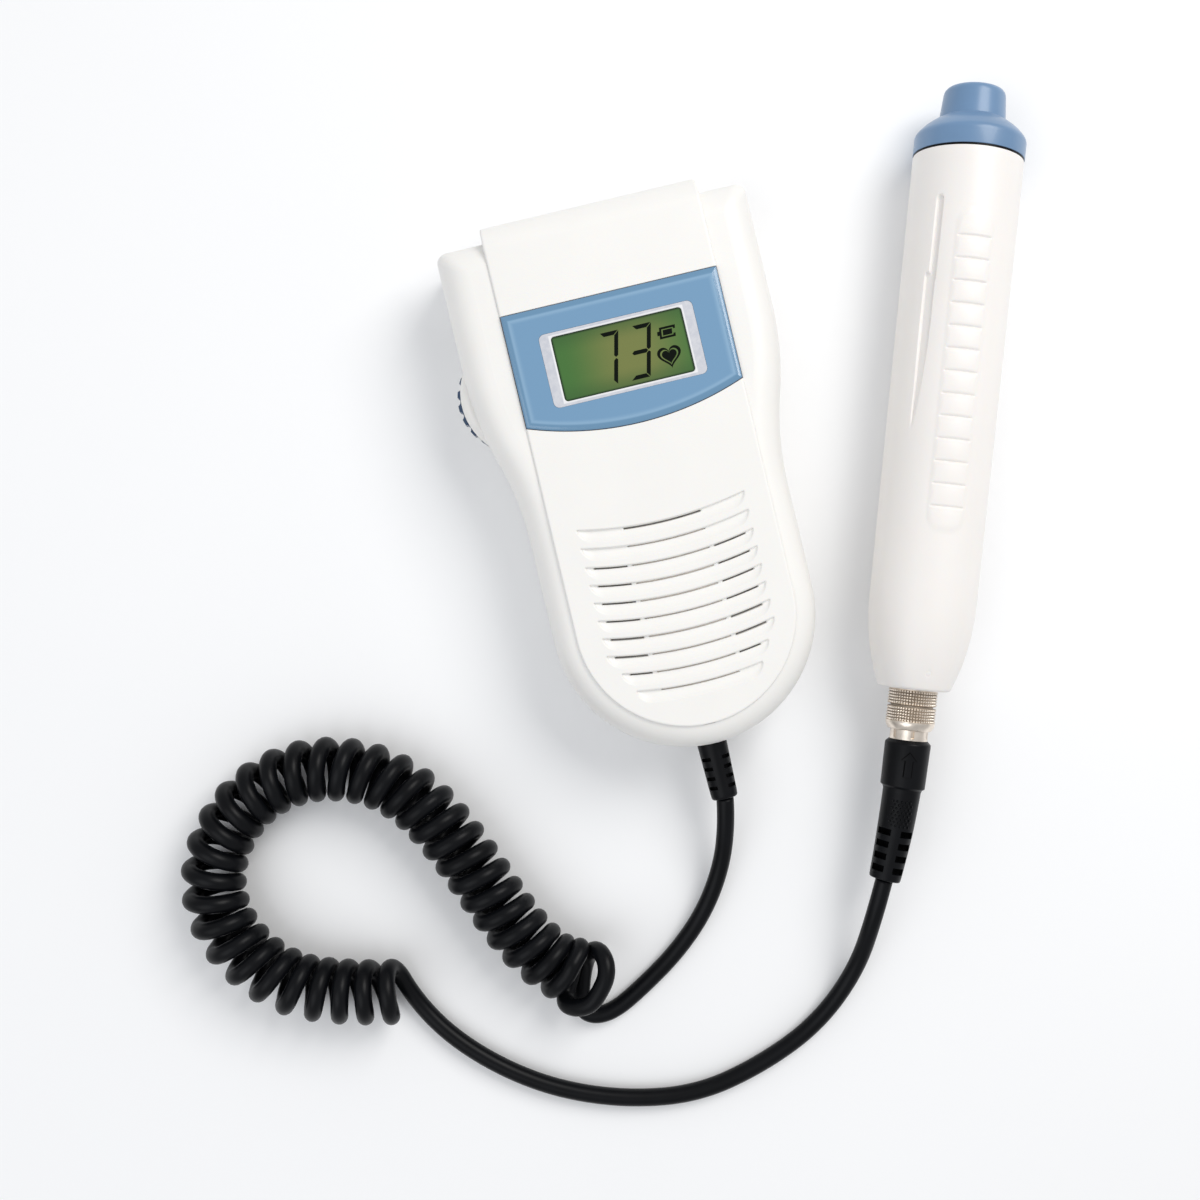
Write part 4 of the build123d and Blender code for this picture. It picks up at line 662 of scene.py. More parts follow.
# reading, heart and battery on the display: bars of each digit between its edges, hearts by size and height
signs = {
    "top": 35.8, "middle": 29.25, "low": 22.8, "thick": 1.0, "gap": 0.14, "slant": 0.24, "sunk": 0.02, "proud": 0.03,
    "digits": [(-6.05, -1.3, ["top", "rightTop", "rightLow"]), (2.1, 6.9, ["top", "rightTop", "rightLow", "middle", "low"])],
    "heartX": 11.05, "hearts": ((5.9, 26.3), (4.5, 26.35), (3.7, 26.4)),
    "battery": [
        ((9.85, 33.35), (13.8, 33.87)), ((9.85, 31.03), (13.8, 31.55)), ((9.85, 31.55), (10.37, 33.35)),
        ((13.3, 33.0), (13.8, 33.35)), ((13.3, 31.55), (13.8, 31.9)), ((9.3, 31.95), (9.85, 32.95)), ((10.7, 31.8), (13.0, 33.1)),
    ],
    "batterySlant": 0.13, "batteryMiddle": 32.4,
}


# plan of the window drawn in by an inset: the foot on its arc, then side, top and side, as one ring of points
def windowRing(inset):
    across, up = display["sides"][:2]
    half, top = display["half"] - inset, display["top"] - inset
    radius = (display["half"] ** 2 + display["sag"] ** 2) / (2 * display["sag"])
    x = np.linspace(-half, half, across + 1)[:-1]
    foot = np.stack([x, display["foot"] + radius - np.sqrt((radius - inset) ** 2 - x**2)], axis=-1)
    low = display["foot"] + radius - np.sqrt((radius - inset) ** 2 - half**2)
    rise = np.linspace(low, top, up + 1)[:-1]
    right = np.stack([np.full(up, half), rise], axis=-1)
    lid = np.stack([np.linspace(half, -half, across + 1)[:-1], np.full(across, top)], axis=-1)
    left = np.stack([np.full(up, -half), rise[::-1] + (top - low) / up], axis=-1)
    return np.concatenate([foot, right, lid, left])


# rounded rectangle about the display's middle, grown by a margin, with the window ring's points a side: each side
# is half a corner's arc, its straight stretch and half an arc again, turned on by a quarter for the next
def roundedRing(half, grow, corner):
    bend = np.linspace(-pi / 4, 0, 5)
    ring = []
    for side, count in enumerate(display["sides"]):
        turn = side * pi / 2
        length, away = half[side % 2] + grow, half[1 - side % 2] + grow
        begin = np.stack([-(length - corner) + corner * np.sin(bend), -(away - corner) - corner * np.cos(bend)], axis=-1)
        flat = np.linspace(-(length - corner), length - corner, count - 2 * bend.size + 3)[1:-1]
        middle = np.stack([flat, np.full(flat.size, -away)], axis=-1)
        x, y = np.concatenate([begin, middle, begin[:0:-1] * [-1, 1]]).T
        ring.append(np.stack([x * cos(turn) - y * sin(turn), x * sin(turn) + y * cos(turn)], axis=-1))
    return np.concatenate(ring) + np.array([0, display["lcdY"]])


# a ring solid from outlines, each with its height and inset, joined in order and back to the first; UV x keeps the inset
def ringSolid(name, rings):
    loops = np.stack([np.column_stack([outline, np.full(len(outline), height)]) for outline, height, _ in rings])
    mesh = gridMesh(name, loops * mm, wrap=True, loop=True, smooth=False)
    across = np.repeat([inset for _, _, inset in rings], loops.shape[1])
    uv = mesh.uv_layers.new(name="inset")
    index = np.zeros(len(mesh.loops), dtype=np.int32)
    mesh.loops.foreach_get("vertex_index", index)
    uv.data.foreach_set("uv", np.column_stack([across[index] / uvSpan, np.zeros(index.size)]).ravel())
    return mesh


# flat plates from closed outlines, with straight sides: a bottom ring, a top ring, side faces and two lids each
def plates(name, outlines, low, high):
    points, faces, start = [], [], 0
    for outline in outlines:
        count = len(outline)
        points += [np.column_stack([outline, np.full(count, height)]) for height in (low, high)]
        near = np.arange(count) + start
        far = np.roll(near, -1)
        faces += np.stack([near, far, far + count, near + count], axis=-1).tolist()
        faces += [near[::-1].tolist(), (near + count).tolist()]
        start += 2 * count
    return plainMesh(name, np.concatenate(points) * mm, faces, smooth=False)


# an outline leaning to the right: x plus the slant times the height over a level
def leant(outline, slant, level):
    x, y = np.array(outline).T
    return np.column_stack([x + slant * (y - level), y])


# the lit bars of one seven-segment digit between its left and right edges
def digitBars(left, right, bars):
    top, middle, low, thick, gap = (signs[key] for key in ("top", "middle", "low", "thick", "gap"))
    half = thick / 2
    shapes = {
        "top": [(left + gap, top), (left + gap + thick, top - thick), (right - gap - thick, top - thick), (right - gap, top)],
        "rightTop": [
            (right, top - gap), (right - thick, top - thick - gap), (right - thick, middle + half + gap),
            (right - half, middle + gap), (right, middle + half),
        ],
        "rightLow": [
            (right, low + gap), (right, middle - half), (right - half, middle - gap),
            (right - thick, middle - half - gap), (right - thick, low + thick + gap),
        ],
        "low": [(left + gap, low), (right - gap, low), (right - gap - thick, low + thick), (left + gap + thick, low + thick)],
        "middle": [
            (left + gap, middle), (left + gap + half, middle - half), (right - thick - gap, middle - half),
            (right - half - gap, middle), (right - thick - gap, middle + half), (left + gap + half, middle + half),
        ],
    }
    return [leant(shapes[bar], signs["slant"], middle) for bar in bars]


# heart outline: the well-known sine and cosine series, at a size and height
def heart(size, height):
    t = np.linspace(0, 2 * pi, 40, endpoint=False)
    x = 16 * np.sin(t) ** 3
    y = 13 * np.cos(t) - 5 * np.cos(2 * t) - 2 * np.cos(3 * t) - np.cos(4 * t) + 2.4
    return np.column_stack([x, y]) * size / 32 + (signs["heartX"], height)


# outlines of the digits' bars, the heart and the battery's strokes
def lcdSigns():
    shapes = [bar for digit in signs["digits"] for bar in digitBars(*digit)]
    outer, inner, middle = (heart(*settings) for settings in signs["hearts"])
    half = len(outer) // 2
    # the heart's rim in two halves, so that each outline stays simple
    for take in (np.arange(0, half + 1), np.arange(half, 2 * half + 1) % (2 * half)):
        shapes.append(np.concatenate([outer[take], inner[take][::-1]])[::-1])
    shapes.append(middle[::-1])
    for (x0, y0), (x1, y1) in signs["battery"]:
        shapes.append(leant([(x0, y0), (x1, y0), (x1, y1), (x0, y1)], signs["batterySlant"], signs["batteryMiddle"]))
    return shapes


# window and frame are outlines at heights, up the outside and down the opening; the display and its signs are plates
def makeDisplay():
    opening = roundedRing(display["frameHalf"], display["frameGap"], display["frameRound"])
    rings = [(windowRing(inset), height, inset) for inset, height in display["bevel"]]
    rings += [(opening, height, display["faceInset"]) for height in display["opening"]]
    window = piece("displayWindow", ringSolid("displayWindow", rings), "unit", "window_blue", made["windowBlue"])
    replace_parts(window, "display_window")

    half, corner = display["frameHalf"], display["frameRound"]
    rings = [(roundedRing(half, -inset, corner - inset), height, 0) for inset, height in display["frameOutside"]]
    half, corner, face = display["lcdHalf"], display["lcdRound"], display["lcdFace"]
    rings += [(roundedRing(half, grow, corner), height, 0) for grow, height in display["frameInside"]]
    bezel = piece("lcdBezel", ringSolid("lcdBezel", rings), "unit", "lcd_bezel", made["lcdBezel"])
    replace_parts(bezel, "lcd_frame")

    glass = plates("lcdGlass", [roundedRing(half, display["lcdMargin"], corner)], face - display["lcdThick"], face)
    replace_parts(piece("lcdGlass", glass, "unit", "lcd_glass", made["lcdGreen"]), "lcd_panel")
    drawn = plates("lcdSigns", lcdSigns(), face - signs["sunk"], face + signs["proud"])
    piece("lcdSigns", drawn, "unit", "lcd_glass", made["lcdBlack"])


makeDisplay()
print("scene: display")

# probe: it lies level, turned about the vertical; places along it are counted from the handle's foot
probe = {"origin": (53.0, -68.0, 14.15), "turn": 19.3}
probeRight = np.array([cos(radians(probe["turn"])), -sin(radians(probe["turn"])), 0.0])
probeAhead = np.array([sin(radians(probe["turn"])), cos(radians(probe["turn"])), 0.0])
upward = np.array([0.0, 0.0, 1.0])


# points about the probe's axis: along times its direction, plus radius times the sine of an angle to the right
# and its cosine up
def aboutProbe(along, radius, angle):
    along, radius, angle = np.broadcast_arrays(along, radius, angle)
    out = np.sin(angle)[..., None] * probeRight + np.cos(angle)[..., None] * upward
    return np.array(probe["origin"]) + along[..., None] * probeAhead + radius[..., None] * out


# profile of radius and place, each corner with a size drawn as a parabola from that far before it to that far after
def roundedProfile(corners, count=5):
    places = np.array([corner[:2] for corner in corners], dtype=float)
    share = np.linspace(0, 1, count)[:, None]
    drawn = []
    for k, corner in enumerate(corners):
        here, size = places[k], corner[2] if len(corner) > 2 else 0
        before, after = places[k - 1] - here, places[(k + 1) % len(places)] - here
        start = here + before * size / np.linalg.norm(before)
        end = here + after * size / np.linalg.norm(after)
        drawn.append(start * (1 - share) ** 2 + 2 * here * share * (1 - share) + end * share**2 if size else here[None])
    return np.concatenate(drawn)


# profile carried round the probe's axis, back to its first row or closed at both ends; relief adds to the radius
def turned(name, profile, columns, relief=None, loop=True):
    angle = np.linspace(0, 2 * pi, columns, endpoint=False)[None]
    along = profile[:, 1:]
    radius = profile[:, :1] + (relief(along, angle) if relief else 0)
    return gridMesh(name, aboutProbe(along, radius, angle) * mm, wrap=True, loop=loop, caps=not loop, flip=True, crease=38)


handle = {
    "length": 135.0, "top": 13.85, "waist": 13.4, "waistAt": 22.0, "sweep": 58.76, "sweepAt": 22.31, "sweepCentre": 45.36,
    "endRound": 1.2, "endCentre": 8.195, "endTurn": (22.3, 90, 7), "endRing": 6.6, "wall": 1.8, "endWall": 2.5, "bore": 5.05,
    "reliefRadius": 13.9, "stripAngle": 3.0, "stripHalf": 5.1, "stripFrom": 39.5, "stripTo": 119.5, "stripCorner": 4.0,
    "stripProud": 0.21, "stripSoft": 1.1, "grooves": 13, "firstGroove": 112.6, "groovePitch": 5.57, "grooveHalf": 0.42,
    "grooveDepth": 0.34, "tileHalf": 4.3, "tileCrown": 0.09,
    "slotFrom": 122.6, "slotTo": 102.4, "slotAngles": (-36.7, -36.9), "slotHalf": 1.0, "slotSoft": 0.34, "recess": 0.8,
    "scoopTop": 103.4, "scoopFoot": 63.4, "scoopLeft": (-46.2, -45.4), "scoopRight": (-33.6, -43.4), "scoopSoft": 0.3,
    "scoopFade": 7, "rightWall": 0.85,
    "markRight": 1.07, "markAlong": 4.4, "markRadius": 0.65, "markDepth": 0.07, "markWidth": 0.16, "markRows": (3.5, 5.3, 13),
    "columns": ((-62, 34, 176), (34, 298, 61)), "grooveRows": (-1.2, -0.42, -0.21, 0, 0.21, 0.42, 1.2),
    "plainRows": ((134.7, 124.5, 8), (123.2, 100.5, 54), (99.8, 36, 92), (34, 7, 14)), "footRows": (2.4, 1.5),
}


# barrel: an arc from the foot to the waist, then a straight taper to the cap
def barrelRadius(along):
    fromTop = np.minimum(along, handle["waistAt"]) - handle["sweepAt"]
    low = np.sqrt(handle["sweep"] ** 2 - fromTop**2) - handle["sweepCentre"]
    share = (along - handle["waistAt"]) / (handle["length"] - handle["waistAt"])
    return np.where(along < handle["waistAt"], low, between((handle["waist"], handle["top"]), share))


# distance outside a rectangle with round corners, negative inside it
def outsideBox(x, y, halfX, halfY, corner):
    overX, overY = np.abs(x) - halfX + corner, np.abs(y) - halfY + corner
    return np.hypot(np.maximum(overX, 0), np.maximum(overY, 0)) + np.minimum(np.maximum(overX, overY), 0) - corner


# grip strip: a soft-edged pad, fine V grooves across it, and a slight crown on each tile between them
def gripRelief(along, angle):
    across = handle["reliefRadius"] * (angle - radians(handle["stripAngle"]))
    middle = (handle["stripFrom"] + handle["stripTo"]) / 2
    outside = outsideBox(across, along - middle, handle["stripHalf"], handle["stripTo"] - middle, handle["stripCorner"])
    pad = handle["stripProud"] * smoothStep(-outside, -0.15, handle["stripSoft"])
    count = (handle["firstGroove"] - along) / handle["groovePitch"]
    nearest = np.clip(np.round(count), 0, handle["grooves"] - 1)
    fromGroove = np.abs(count - nearest) * handle["groovePitch"]
    onTile = 1 - smoothStep(np.abs(across), handle["tileHalf"] - 0.5, handle["tileHalf"] + 0.35)
    groove = handle["grooveDepth"] * np.clip(1 - fromGroove / handle["grooveHalf"], 0, 1)
    crown = handle["tileCrown"] * smoothStep(fromGroove, 0.3, 2.2)
    return pad + (crown * smoothStep(-outside, 0.6, 1.6) - groove) * onTile


# thumb recess, the deeper of two: a narrow slot with steep sides and a round end, and a scoop with a sharp left wall,
# which gets shallower to the right as its right wall wears off, and narrows and fades towards its foot
def thumbRelief(along, angle):
    top, foot, soft = handle["scoopTop"], handle["scoopFoot"], handle["scoopSoft"]
    share = (handle["slotFrom"] - along) / (handle["slotFrom"] - handle["slotTo"])
    fromSlot = handle["reliefRadius"] * (angle - np.radians(between(handle["slotAngles"], share)))
    outside = np.hypot(fromSlot, np.maximum(along - handle["slotFrom"] + handle["slotHalf"], 0)) - handle["slotHalf"]
    slot = smoothStep(-outside, 0, handle["slotSoft"]) * smoothStep(along, handle["slotTo"] - 1.6, handle["slotTo"] + 0.4)
    down = np.clip((top - along) / (top - foot), 0, 1)
    fromLeft = handle["reliefRadius"] * (angle - np.radians(between(handle["scoopLeft"], down)))
    fromRight = handle["reliefRadius"] * (np.radians(between(handle["scoopRight"], down**3)) - angle)
    corner = 0.5 * np.clip(1 - (top - along) / 1.0, 0, 1) ** 2
    inside = smoothStep(fromLeft - corner, 0, soft) * smoothStep(fromRight, -0.05, soft) * smoothStep(top - along, 0, 0.45)
    tilt = np.clip(fromRight / np.maximum(fromLeft + fromRight, 0.05), 0, 1)
    rightWall = handle["rightWall"] - handle["rightWall"] * smoothStep(down, 0.1, 0.85)
    scoop = inside * (tilt + (1 - tilt) * rightWall) * smoothStep(along, foot, foot + handle["scoopFade"])
    return -handle["recess"] * np.maximum(slot, scoop)


# handle: the barrel's radius plus the grip and thumb reliefs, less a faint ring mark: a bell curve of the distance
# from its circle
def makeHandle():
    front, back = handle["columns"]
    angle = np.radians(np.concatenate([np.linspace(*front), np.linspace(*back)[1:-1]]))[None]
    grooves = handle["firstGroove"] - handle["groovePitch"] * np.arange(handle["grooves"])
    near = (grooves[:, None] + np.array(handle["grooveRows"])).ravel()
    turn = np.radians(np.linspace(*handle["endTurn"]))
    roundFoot = handle["endRound"] * (1 - np.sin(turn))
    plain = stretches([*handle["plainRows"], handle["markRows"]])
    rows = np.unique(np.round(np.concatenate([plain, handle["footRows"], roundFoot[:1], near]), 4))[::-1][:, None]
    radius = barrelRadius(rows) + gripRelief(rows, angle) + thumbRelief(rows, angle)
    fromMark = np.hypot(barrelRadius(rows) * np.sin(angle) - handle["markRight"], rows - handle["markAlong"])
    bell = np.exp(-(((fromMark - handle["markRadius"]) / handle["markWidth"]) ** 2))
    radius = radius - handle["markDepth"] * bell * (np.cos(angle) > 0)
    # the rest of the section in order: the round at the foot, the end face, the bore, the wall's inside, the seam at the cap
    inner = np.linspace(handle["endWall"], handle["length"], 8)
    rest = np.concatenate([
        np.column_stack([handle["endCentre"] + handle["endRound"] * np.cos(turn[1:]), roundFoot[1:]]),
        [(handle["endRing"], 0), (handle["bore"], 0), (handle["bore"], handle["endWall"])],
        np.column_stack([barrelRadius(inner) - handle["wall"], inner]),
        [(handle["top"] - 0.22, handle["length"]), (handle["top"] - 0.06, handle["length"] - 0.07)],
    ])
    radius = np.concatenate([radius, np.broadcast_to(rest[:, :1], (len(rest), angle.size))])
    along = np.concatenate([rows, rest[:, 1:]])
    mesh = gridMesh("probeHandle", aboutProbe(along, radius, angle) * mm, wrap=True, loop=True, flip=True, crease=50)
    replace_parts(piece("probeHandle", mesh, "probe", "white_shell", made["probeWhite"]), "probe_handle")


makeHandle()
print("scene: probe handle")

# the blue end: a ring, a cone with a slight belly, and the domed tip, hollow inside
cap = {
    "outside": [
        (0.4, 153.4), (3.2, 153.28), (7.62, 152.92, 1.75), (8.3, 145.0, 0.3), (9.2, 144.6, 0.35), (12.1, 142.45, 1.6),
        (13.98, 140.2, 0.9), (13.95, 135.5, 0.12),
    ],
    "inside": [(12.05, 135.5), (12.05, 131.5), (10.45, 131.5), (10.45, 135.5), (6.0, 140.1), (6.0, 151.2), (0.4, 151.2)],
    "columns": 120,
}
capMesh = turned("probeCap", roundedProfile(cap["outside"] + cap["inside"], 7), cap["columns"], loop=False)
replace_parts(piece("probeCap", capMesh, "probe", "blue_trim", made["blueTrim"]), "probe_cap")
print("scene: probe cap")

# connector: two knurled rings of the same size, one fixed to the probe and one on the plug; profiles as radius and place
connector = {
    "ring": 6.15, "depth": 0.34, "cells": 52, "rows": 5, "cellSteps": 6, "fixed": (-0.35, -4.0), "sliding": (-4.72, -8.3),
    "aboveFixed": [(3.6, 9.5), (5.0, 9.5), (5.0, 0.0), (5.6, -0.02), (6.0, -0.02, 0.1), (6.0, -0.3)],
    "belowFixed": [(6.15, -4.0), (5.95, -4.1, 0.1), (3.6, -4.1, 0.15)],
    "aboveSliding": [(4.8, -4.2), (5.35, -4.2, 0.1), (5.35, -4.68), (6.15, -4.7)],
    "belowSliding": [(6.15, -8.35), (6.17, -8.7, 0.1), (6.05, -9.4, 0.45), (5.4, -10.5, 0.35), (4.8, -10.5)],
    "lipRadius": 5.4, "lip": (-4.69, -4.1),
    "neck": [
        (3.0, 3.8), (3.55, 3.8), (3.55, -4.2), (4.75, -4.2), (4.75, -10.68), (4.75, -10.72), (4.75, -11.5), (4.75, -12.4),
        (4.75, -12.48), (4.75, -18.6), (3.0, -18.6),
    ],
    "neckRadius": 4.75, "neckColumns": 240, "neckSlots": 6, "slotHalf": 0.33, "slotDepth": 0.6, "slotSpan": (-12.45, -10.7),
}


# square knurl between two places: grooves round and along the ring, the deeper of the two taken
def knurl(along, angle, span):
    high, low = span
    across = np.abs((angle * connector["cells"] / (2 * pi)) % 1 - 0.5) * 2
    down = np.abs((high - along) / (high - low) * connector["rows"] % 1 - 0.5) * 2
    groove = np.maximum(smoothStep(across, 0.45, 0.9), smoothStep(down, 0.45, 0.9))
    return -connector["depth"] * groove * ((along < high) & (along > low))


# a ring turned from its profile with the knurl between; the grooves, and the lip between the two rings, are shaded
def knurledRing(name, above, span, below):
    columns, steps = connector["cells"] * connector["cellSteps"], connector["rows"] * connector["cellSteps"] + 1
    band = np.column_stack([np.full(steps, connector["ring"]), np.linspace(*span, steps)])
    profile = np.concatenate([above, band, below])
    mesh = turned(name, profile, columns, lambda along, angle: knurl(along, angle, span))
    angle = np.linspace(0, 2 * pi, columns, endpoint=False)[None]
    depth = -knurl(profile[:, 1:], angle, span)
    depth = np.concatenate([depth, depth[:1]])
    deep = (depth[:-1] + depth[1:] + np.roll(depth[:-1] + depth[1:], -1, axis=1)) / 4 > 0.45 * connector["depth"]
    low, high = connector["lip"]
    lip = (profile[:, 0] < connector["lipRadius"]) & (profile[:, 1] < high) & (profile[:, 1] > low)
    secondMaterial(mesh, deep | lip[:, None])
    return mesh


# slots lengthwise in the neck, between the sleeve and the moulded head: soft-edged stretches of the angle
def neckSlots(along, angle):
    count, half = connector["neckSlots"], connector["slotHalf"]
    across = np.abs((angle * count / (2 * pi) + 0.5) % 1 - 0.5) * 2 * pi / count * connector["neckRadius"]
    low, high = connector["slotSpan"]
    return -connector["slotDepth"] * (1 - smoothStep(across, half - 0.14, half + 0.06)) * ((along < high) & (along > low))


above, below = roundedProfile(connector["aboveFixed"]), roundedProfile(connector["belowFixed"])[1:]
fixed = knurledRing("knurledReceptacle", above, connector["fixed"], below)
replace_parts(piece("knurledReceptacle", fixed, "probe", "nickel", made["nickel"], made["nickelShade"]), "receptacle")
above, below = roundedProfile(connector["aboveSliding"]), roundedProfile(connector["belowSliding"])
sliding = knurledRing("knurledSleeve", above, connector["sliding"], below)
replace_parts(piece("knurledSleeve", sliding, "plug_sleeve", "nickel", made["nickel"], made["nickelShade"]), "plug_sleeve")
shell = turned("plugNeck", np.array(connector["neck"]), connector["neckColumns"], neckSlots)
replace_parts(piece("plugNeck", shell, "unit", "nickel", made["nickel"]), "plug_shell")
print("scene: connector rings")

# moulded plug: a round head with an arrow, a body with a patch of dots, and a slotted boot that bends towards the cord;
# head and tail are radius and place, taper is places and radii, arrow is distance down and half width
plug = {
    "roll": -7.5, "arrowRoll": -4.0, "dotRoll": -2.5, "headFoot": -13.0, "end": -49.0, "aside": 2.4,
    "head": [
        (0.4, -18.62), (4.77, -18.62), (4.77, -13.02), (4.85, -13.0), (5.78, -13.9, 0.35), (5.6, -24.9, 0.2), (4.95, -25.4, 0.15),
    ],
    "taper": ((-49.0, -35.9, -25.4), (4.0, 4.55, 4.8)), "plainRows": np.linspace(-26.0, -35.3, 12), "lastRow": -47.6,
    "tail": [(4.0, -48.4), (3.9, -48.8), (3.68, -48.96), (3.4, -49.0), (1.9, -49.0)],
    "spine": 16.0, "side": 70.0, "core": 2.3, "web": 0.3, "slots": 4, "firstSlot": -35.9, "slotPitch": 3.13, "slotWidth": 1.65,
    "headRadius": 5.78, "headTaper": -0.017, "headFrom": 0.9,
    "arrow": [(2.8, 0.06), (5.0, 2.05), (5.02, 1.15), (9.2, 1.15)], "arrowSteps": 22, "arrowColumns": 11,
    "arrowProud": 0.34, "arrowRim": 0.34,
    "dotColumns": 5, "dotRows": 8, "dotPitch": (1.15, 0.88), "dotsFrom": -28.6, "dotSides": 10,
    "dotRadius": 0.33, "dotSpread": (1.0, 0.97, 0.72, 0.3), "dotProud": 0.4, "dotLift": (-0.8, 0.0, 0.72, 1.0),
}


# place of the plug's points: its rings lie across an axis that bends to the left by a parabola from the head's foot on
def aboutPlug(along, x, z, roll=plug["roll"]):
    along, x, z = np.broadcast_arrays(along, x, z)
    roll = radians(roll)
    x, z = x * cos(roll) + z * sin(roll), z * cos(roll) - x * sin(roll)
    below = np.maximum(plug["headFoot"] - along, 0)
    curve = plug["aside"] / (plug["headFoot"] - plug["end"]) ** 2
    tilt = np.arctan(2 * curve * below)
    side = np.cos(tilt)[..., None] * probeRight - np.sin(tilt)[..., None] * probeAhead
    line = np.array(probe["origin"]) + along[..., None] * probeAhead - (curve * below**2)[..., None] * probeRight
    return line + x[..., None] * side + z[..., None] * upward


# angles round a slotted sleeve, and which of them lie in a slot: spine, slot, closed side, and the same mirrored
def slotAngles(spine, side):
    quarter = np.concatenate([np.linspace(0, spine, 5), np.linspace(spine + 0.5, side - 0.5, 11), np.linspace(side, 90, 6)])
    inSlot = np.zeros(quarter.size, dtype=bool)
    inSlot[5:16] = True
    half = np.concatenate([quarter, 180 - quarter[-2::-1]])
    halfIn = np.concatenate([inSlot, inSlot[-2::-1]])
    return np.radians(np.concatenate([half, 360 - half[-2:0:-1]])), np.concatenate([halfIn, halfIn[-2:0:-1]])


# slotted sleeve: rows of place, radius and cut down the head, the taper with its slots and the tail; each ring is round,
# or in a slot dropped to the core's circle, no lower than half the web between the slots; the slots' floors are shaded
def slottedSleeve(name, settings, head, placed):
    first, pitch, width = settings["firstSlot"], settings["slotPitch"], settings["slotWidth"]
    edges = ((0, 0), (0.012, 1), (0.5, 1), (0.988, 1), (1, 0))
    tapered = [(place, 0) for place in settings["plainRows"]]
    tapered += [(first - pitch * k - width * share, cut) for k in range(settings["slots"]) for share, cut in edges]
    tapered += [(settings["lastRow"], 0)]
    rows = [(place, radius, 0) for radius, place in head]
    rows += [(place, np.interp(place, *settings["taper"]), cut) for place, cut in tapered]
    rows += [(place, radius, 0) for radius, place in settings["tail"]]
    rows = np.array(rows)
    angle, inSlot = slotAngles(settings["spine"], settings["side"])
    radius, cut = rows[:, 1:2], rows[:, 2:3] > 0
    x, z = radius * np.sin(angle), radius * np.cos(angle)
    floor = np.maximum(settings["web"], np.sqrt(np.maximum(settings["core"] ** 2 - x**2, 0))) * np.sign(z)
    z = np.where(cut & inSlot & (np.abs(z) > np.abs(floor)), floor, z)
    mesh = gridMesh(name, placed(rows[:, :1], x, z) * mm, wrap=True, caps=True, flip=True, crease=38)
    floors = cut[:-1] & cut[1:] & inSlot & np.roll(inSlot, -1)
    secondMaterial(mesh, np.concatenate([floors.ravel(), [False, False]]))
    return mesh


# arrow towards the probe: half widths by the distance down the head, each ring over it, down to a dark rim and back
# under;
# all but its top carries painted shade
def plugArrow():
    steps = np.linspace(0, 3, plug["arrowSteps"])[:, None]
    down, half = np.array(plug["arrow"]).T
    place = plug["headFoot"] - np.interp(steps, np.arange(4), down)
    width = np.interp(steps, np.arange(4), half)
    share = np.linspace(-1, 1, plug["arrowColumns"])[None]
    face = plug["headRadius"] + (plug["headFoot"] - plug["headFrom"] - place) * plug["headTaper"]
    raised = np.maximum(width - plug["arrowRim"], 0.03)
    top, side, under = raised * share / face, (raised + 0.03) / face, width * share / face
    over, rim, sunk = np.broadcast_to(face + plug["arrowProud"], top.shape), face + 0.04, np.broadcast_to(face - 0.3, top.shape)
    angle = np.concatenate([top, side, under[:, -1:], under[:, ::-1], under[:, :1], -side], axis=1)
    radius = np.concatenate([over, rim, rim, sunk, rim, rim], axis=1)
    points = aboutPlug(place, radius * np.sin(angle), radius * np.cos(angle), plug["arrowRoll"])
    mesh = gridMesh("plugArrow", points * mm, wrap=True, caps=True, flip=True, crease=35)
    sides = np.ones((len(place) - 1, angle.shape[1]), dtype=bool)
    sides[:, : share.size - 1] = False
    secondMaterial(mesh, np.concatenate([sides.ravel(), [True, True]]))
    return mesh


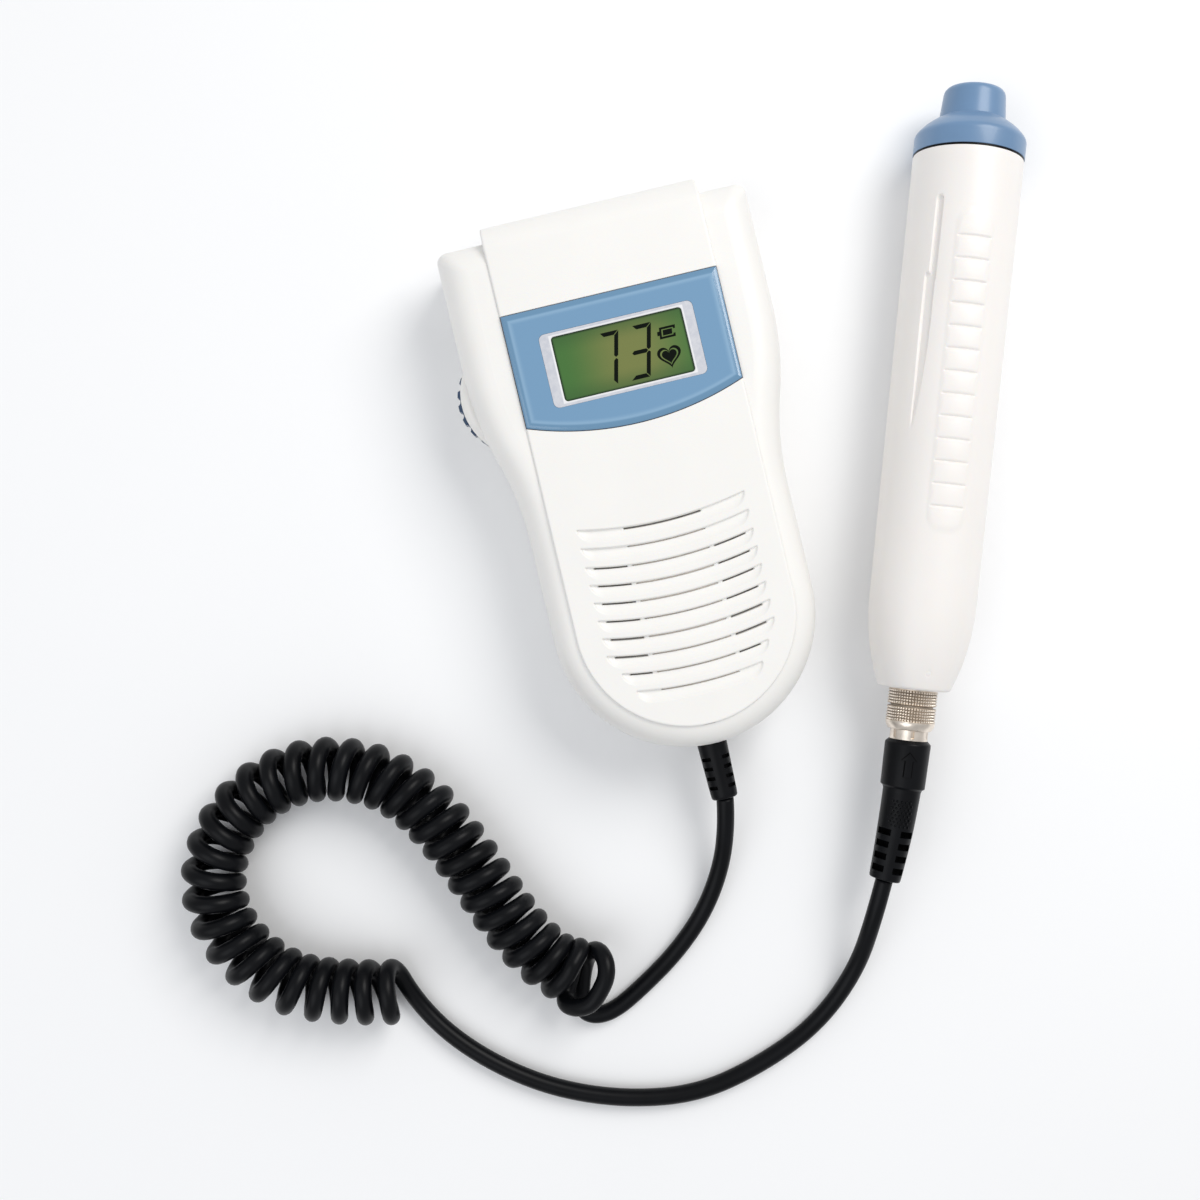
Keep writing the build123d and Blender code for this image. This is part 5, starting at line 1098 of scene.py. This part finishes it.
# staggered dots on the body: each a low dome of rings about its own middle, closed above and below
def plugDots():
    column, row = np.meshgrid(np.arange(plug["dotColumns"]) - (plug["dotColumns"] - 1) / 2, np.arange(plug["dotRows"]))
    pitchX, pitchY = plug["dotPitch"]
    middleX = ((column + row % 2 / 2 - 0.25) * pitchX).reshape(-1, 1, 1)
    middleY = (plug["dotsFrom"] - row * pitchY).reshape(-1, 1, 1)
    turn = np.linspace(0, 2 * pi, plug["dotSides"], endpoint=False)
    spread = plug["dotRadius"] * np.array(plug["dotSpread"])[:, None]
    lift = plug["dotProud"] * np.array(plug["dotLift"])[:, None]
    x = middleX + spread * np.sin(turn)
    along = middleY + spread * np.cos(turn)
    radius = np.interp(along, *plug["taper"]) + lift
    points = aboutPlug(along, radius * np.sin(x / radius), radius * np.cos(x / radius), plug["dotRoll"])
    index = np.arange(x.size).reshape(x.shape)
    faces = gridQuads(np.concatenate([index, index[:, :, :1]], axis=2)) + index[:, -1].tolist() + index[:, 0, ::-1].tolist()
    return plainMesh("plugDots", points * mm, faces)


bodyTop = plug["plainRows"][0]
plugHead = roundedProfile(plug["head"] + [(np.interp(bodyTop, *plug["taper"]), bodyTop)])[:-1]
bootMesh = slottedSleeve("plugBoot", plug, plugHead, aboutPlug)
boot = piece("plugBoot", bootMesh, "unit", "black_rubber", made["blackRubber"], made["slotShade"])
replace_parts(boot, "plug_body")
arrow = piece("plugArrow", plugArrow(), "unit", "black_rubber", made["blackRubber"], made["slotShade"])
dots = piece("plugDots", plugDots(), "unit", "black_rubber", made["blackRubber"])
print("scene: plug and boot")

# strain relief on the unit: a short slotted sleeve on a flange inside the case
gland = {
    "height": 12.0, "head": [(0.5, -64.7), (5.2, -64.7), (5.2, -66.2), (3.85, -66.2), (3.85, -69.0)],
    "taper": ((-84.2, -69.0), (3.4, 3.85)), "plainRows": (-71.0, -72.6), "lastRow": -82.6,
    "tail": [(3.38, -83.5), (3.24, -83.95), (2.98, -84.15), (2.7, -84.2), (2.0, -84.2)],
    "spine": 23.0, "side": 72.0, "core": 2.6, "web": 0.3, "slots": 4, "firstSlot": -73.0, "slotPitch": 2.5, "slotWidth": 0.95,
}


# place of the strain relief's points: straight down the unit's middle line
def aboutGland(along, x, z):
    return np.stack([x, np.broadcast_to(along, x.shape), gland["height"] + z], axis=-1)


reliefMesh = slottedSleeve("strainRelief", gland, gland["head"], aboutGland)
sleeve = piece("strainRelief", reliefMesh, "unit", "black_rubber", made["blackRubber"], made["slotShade"])
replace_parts(sleeve, "unit_strain_relief")
print("scene: strain relief")
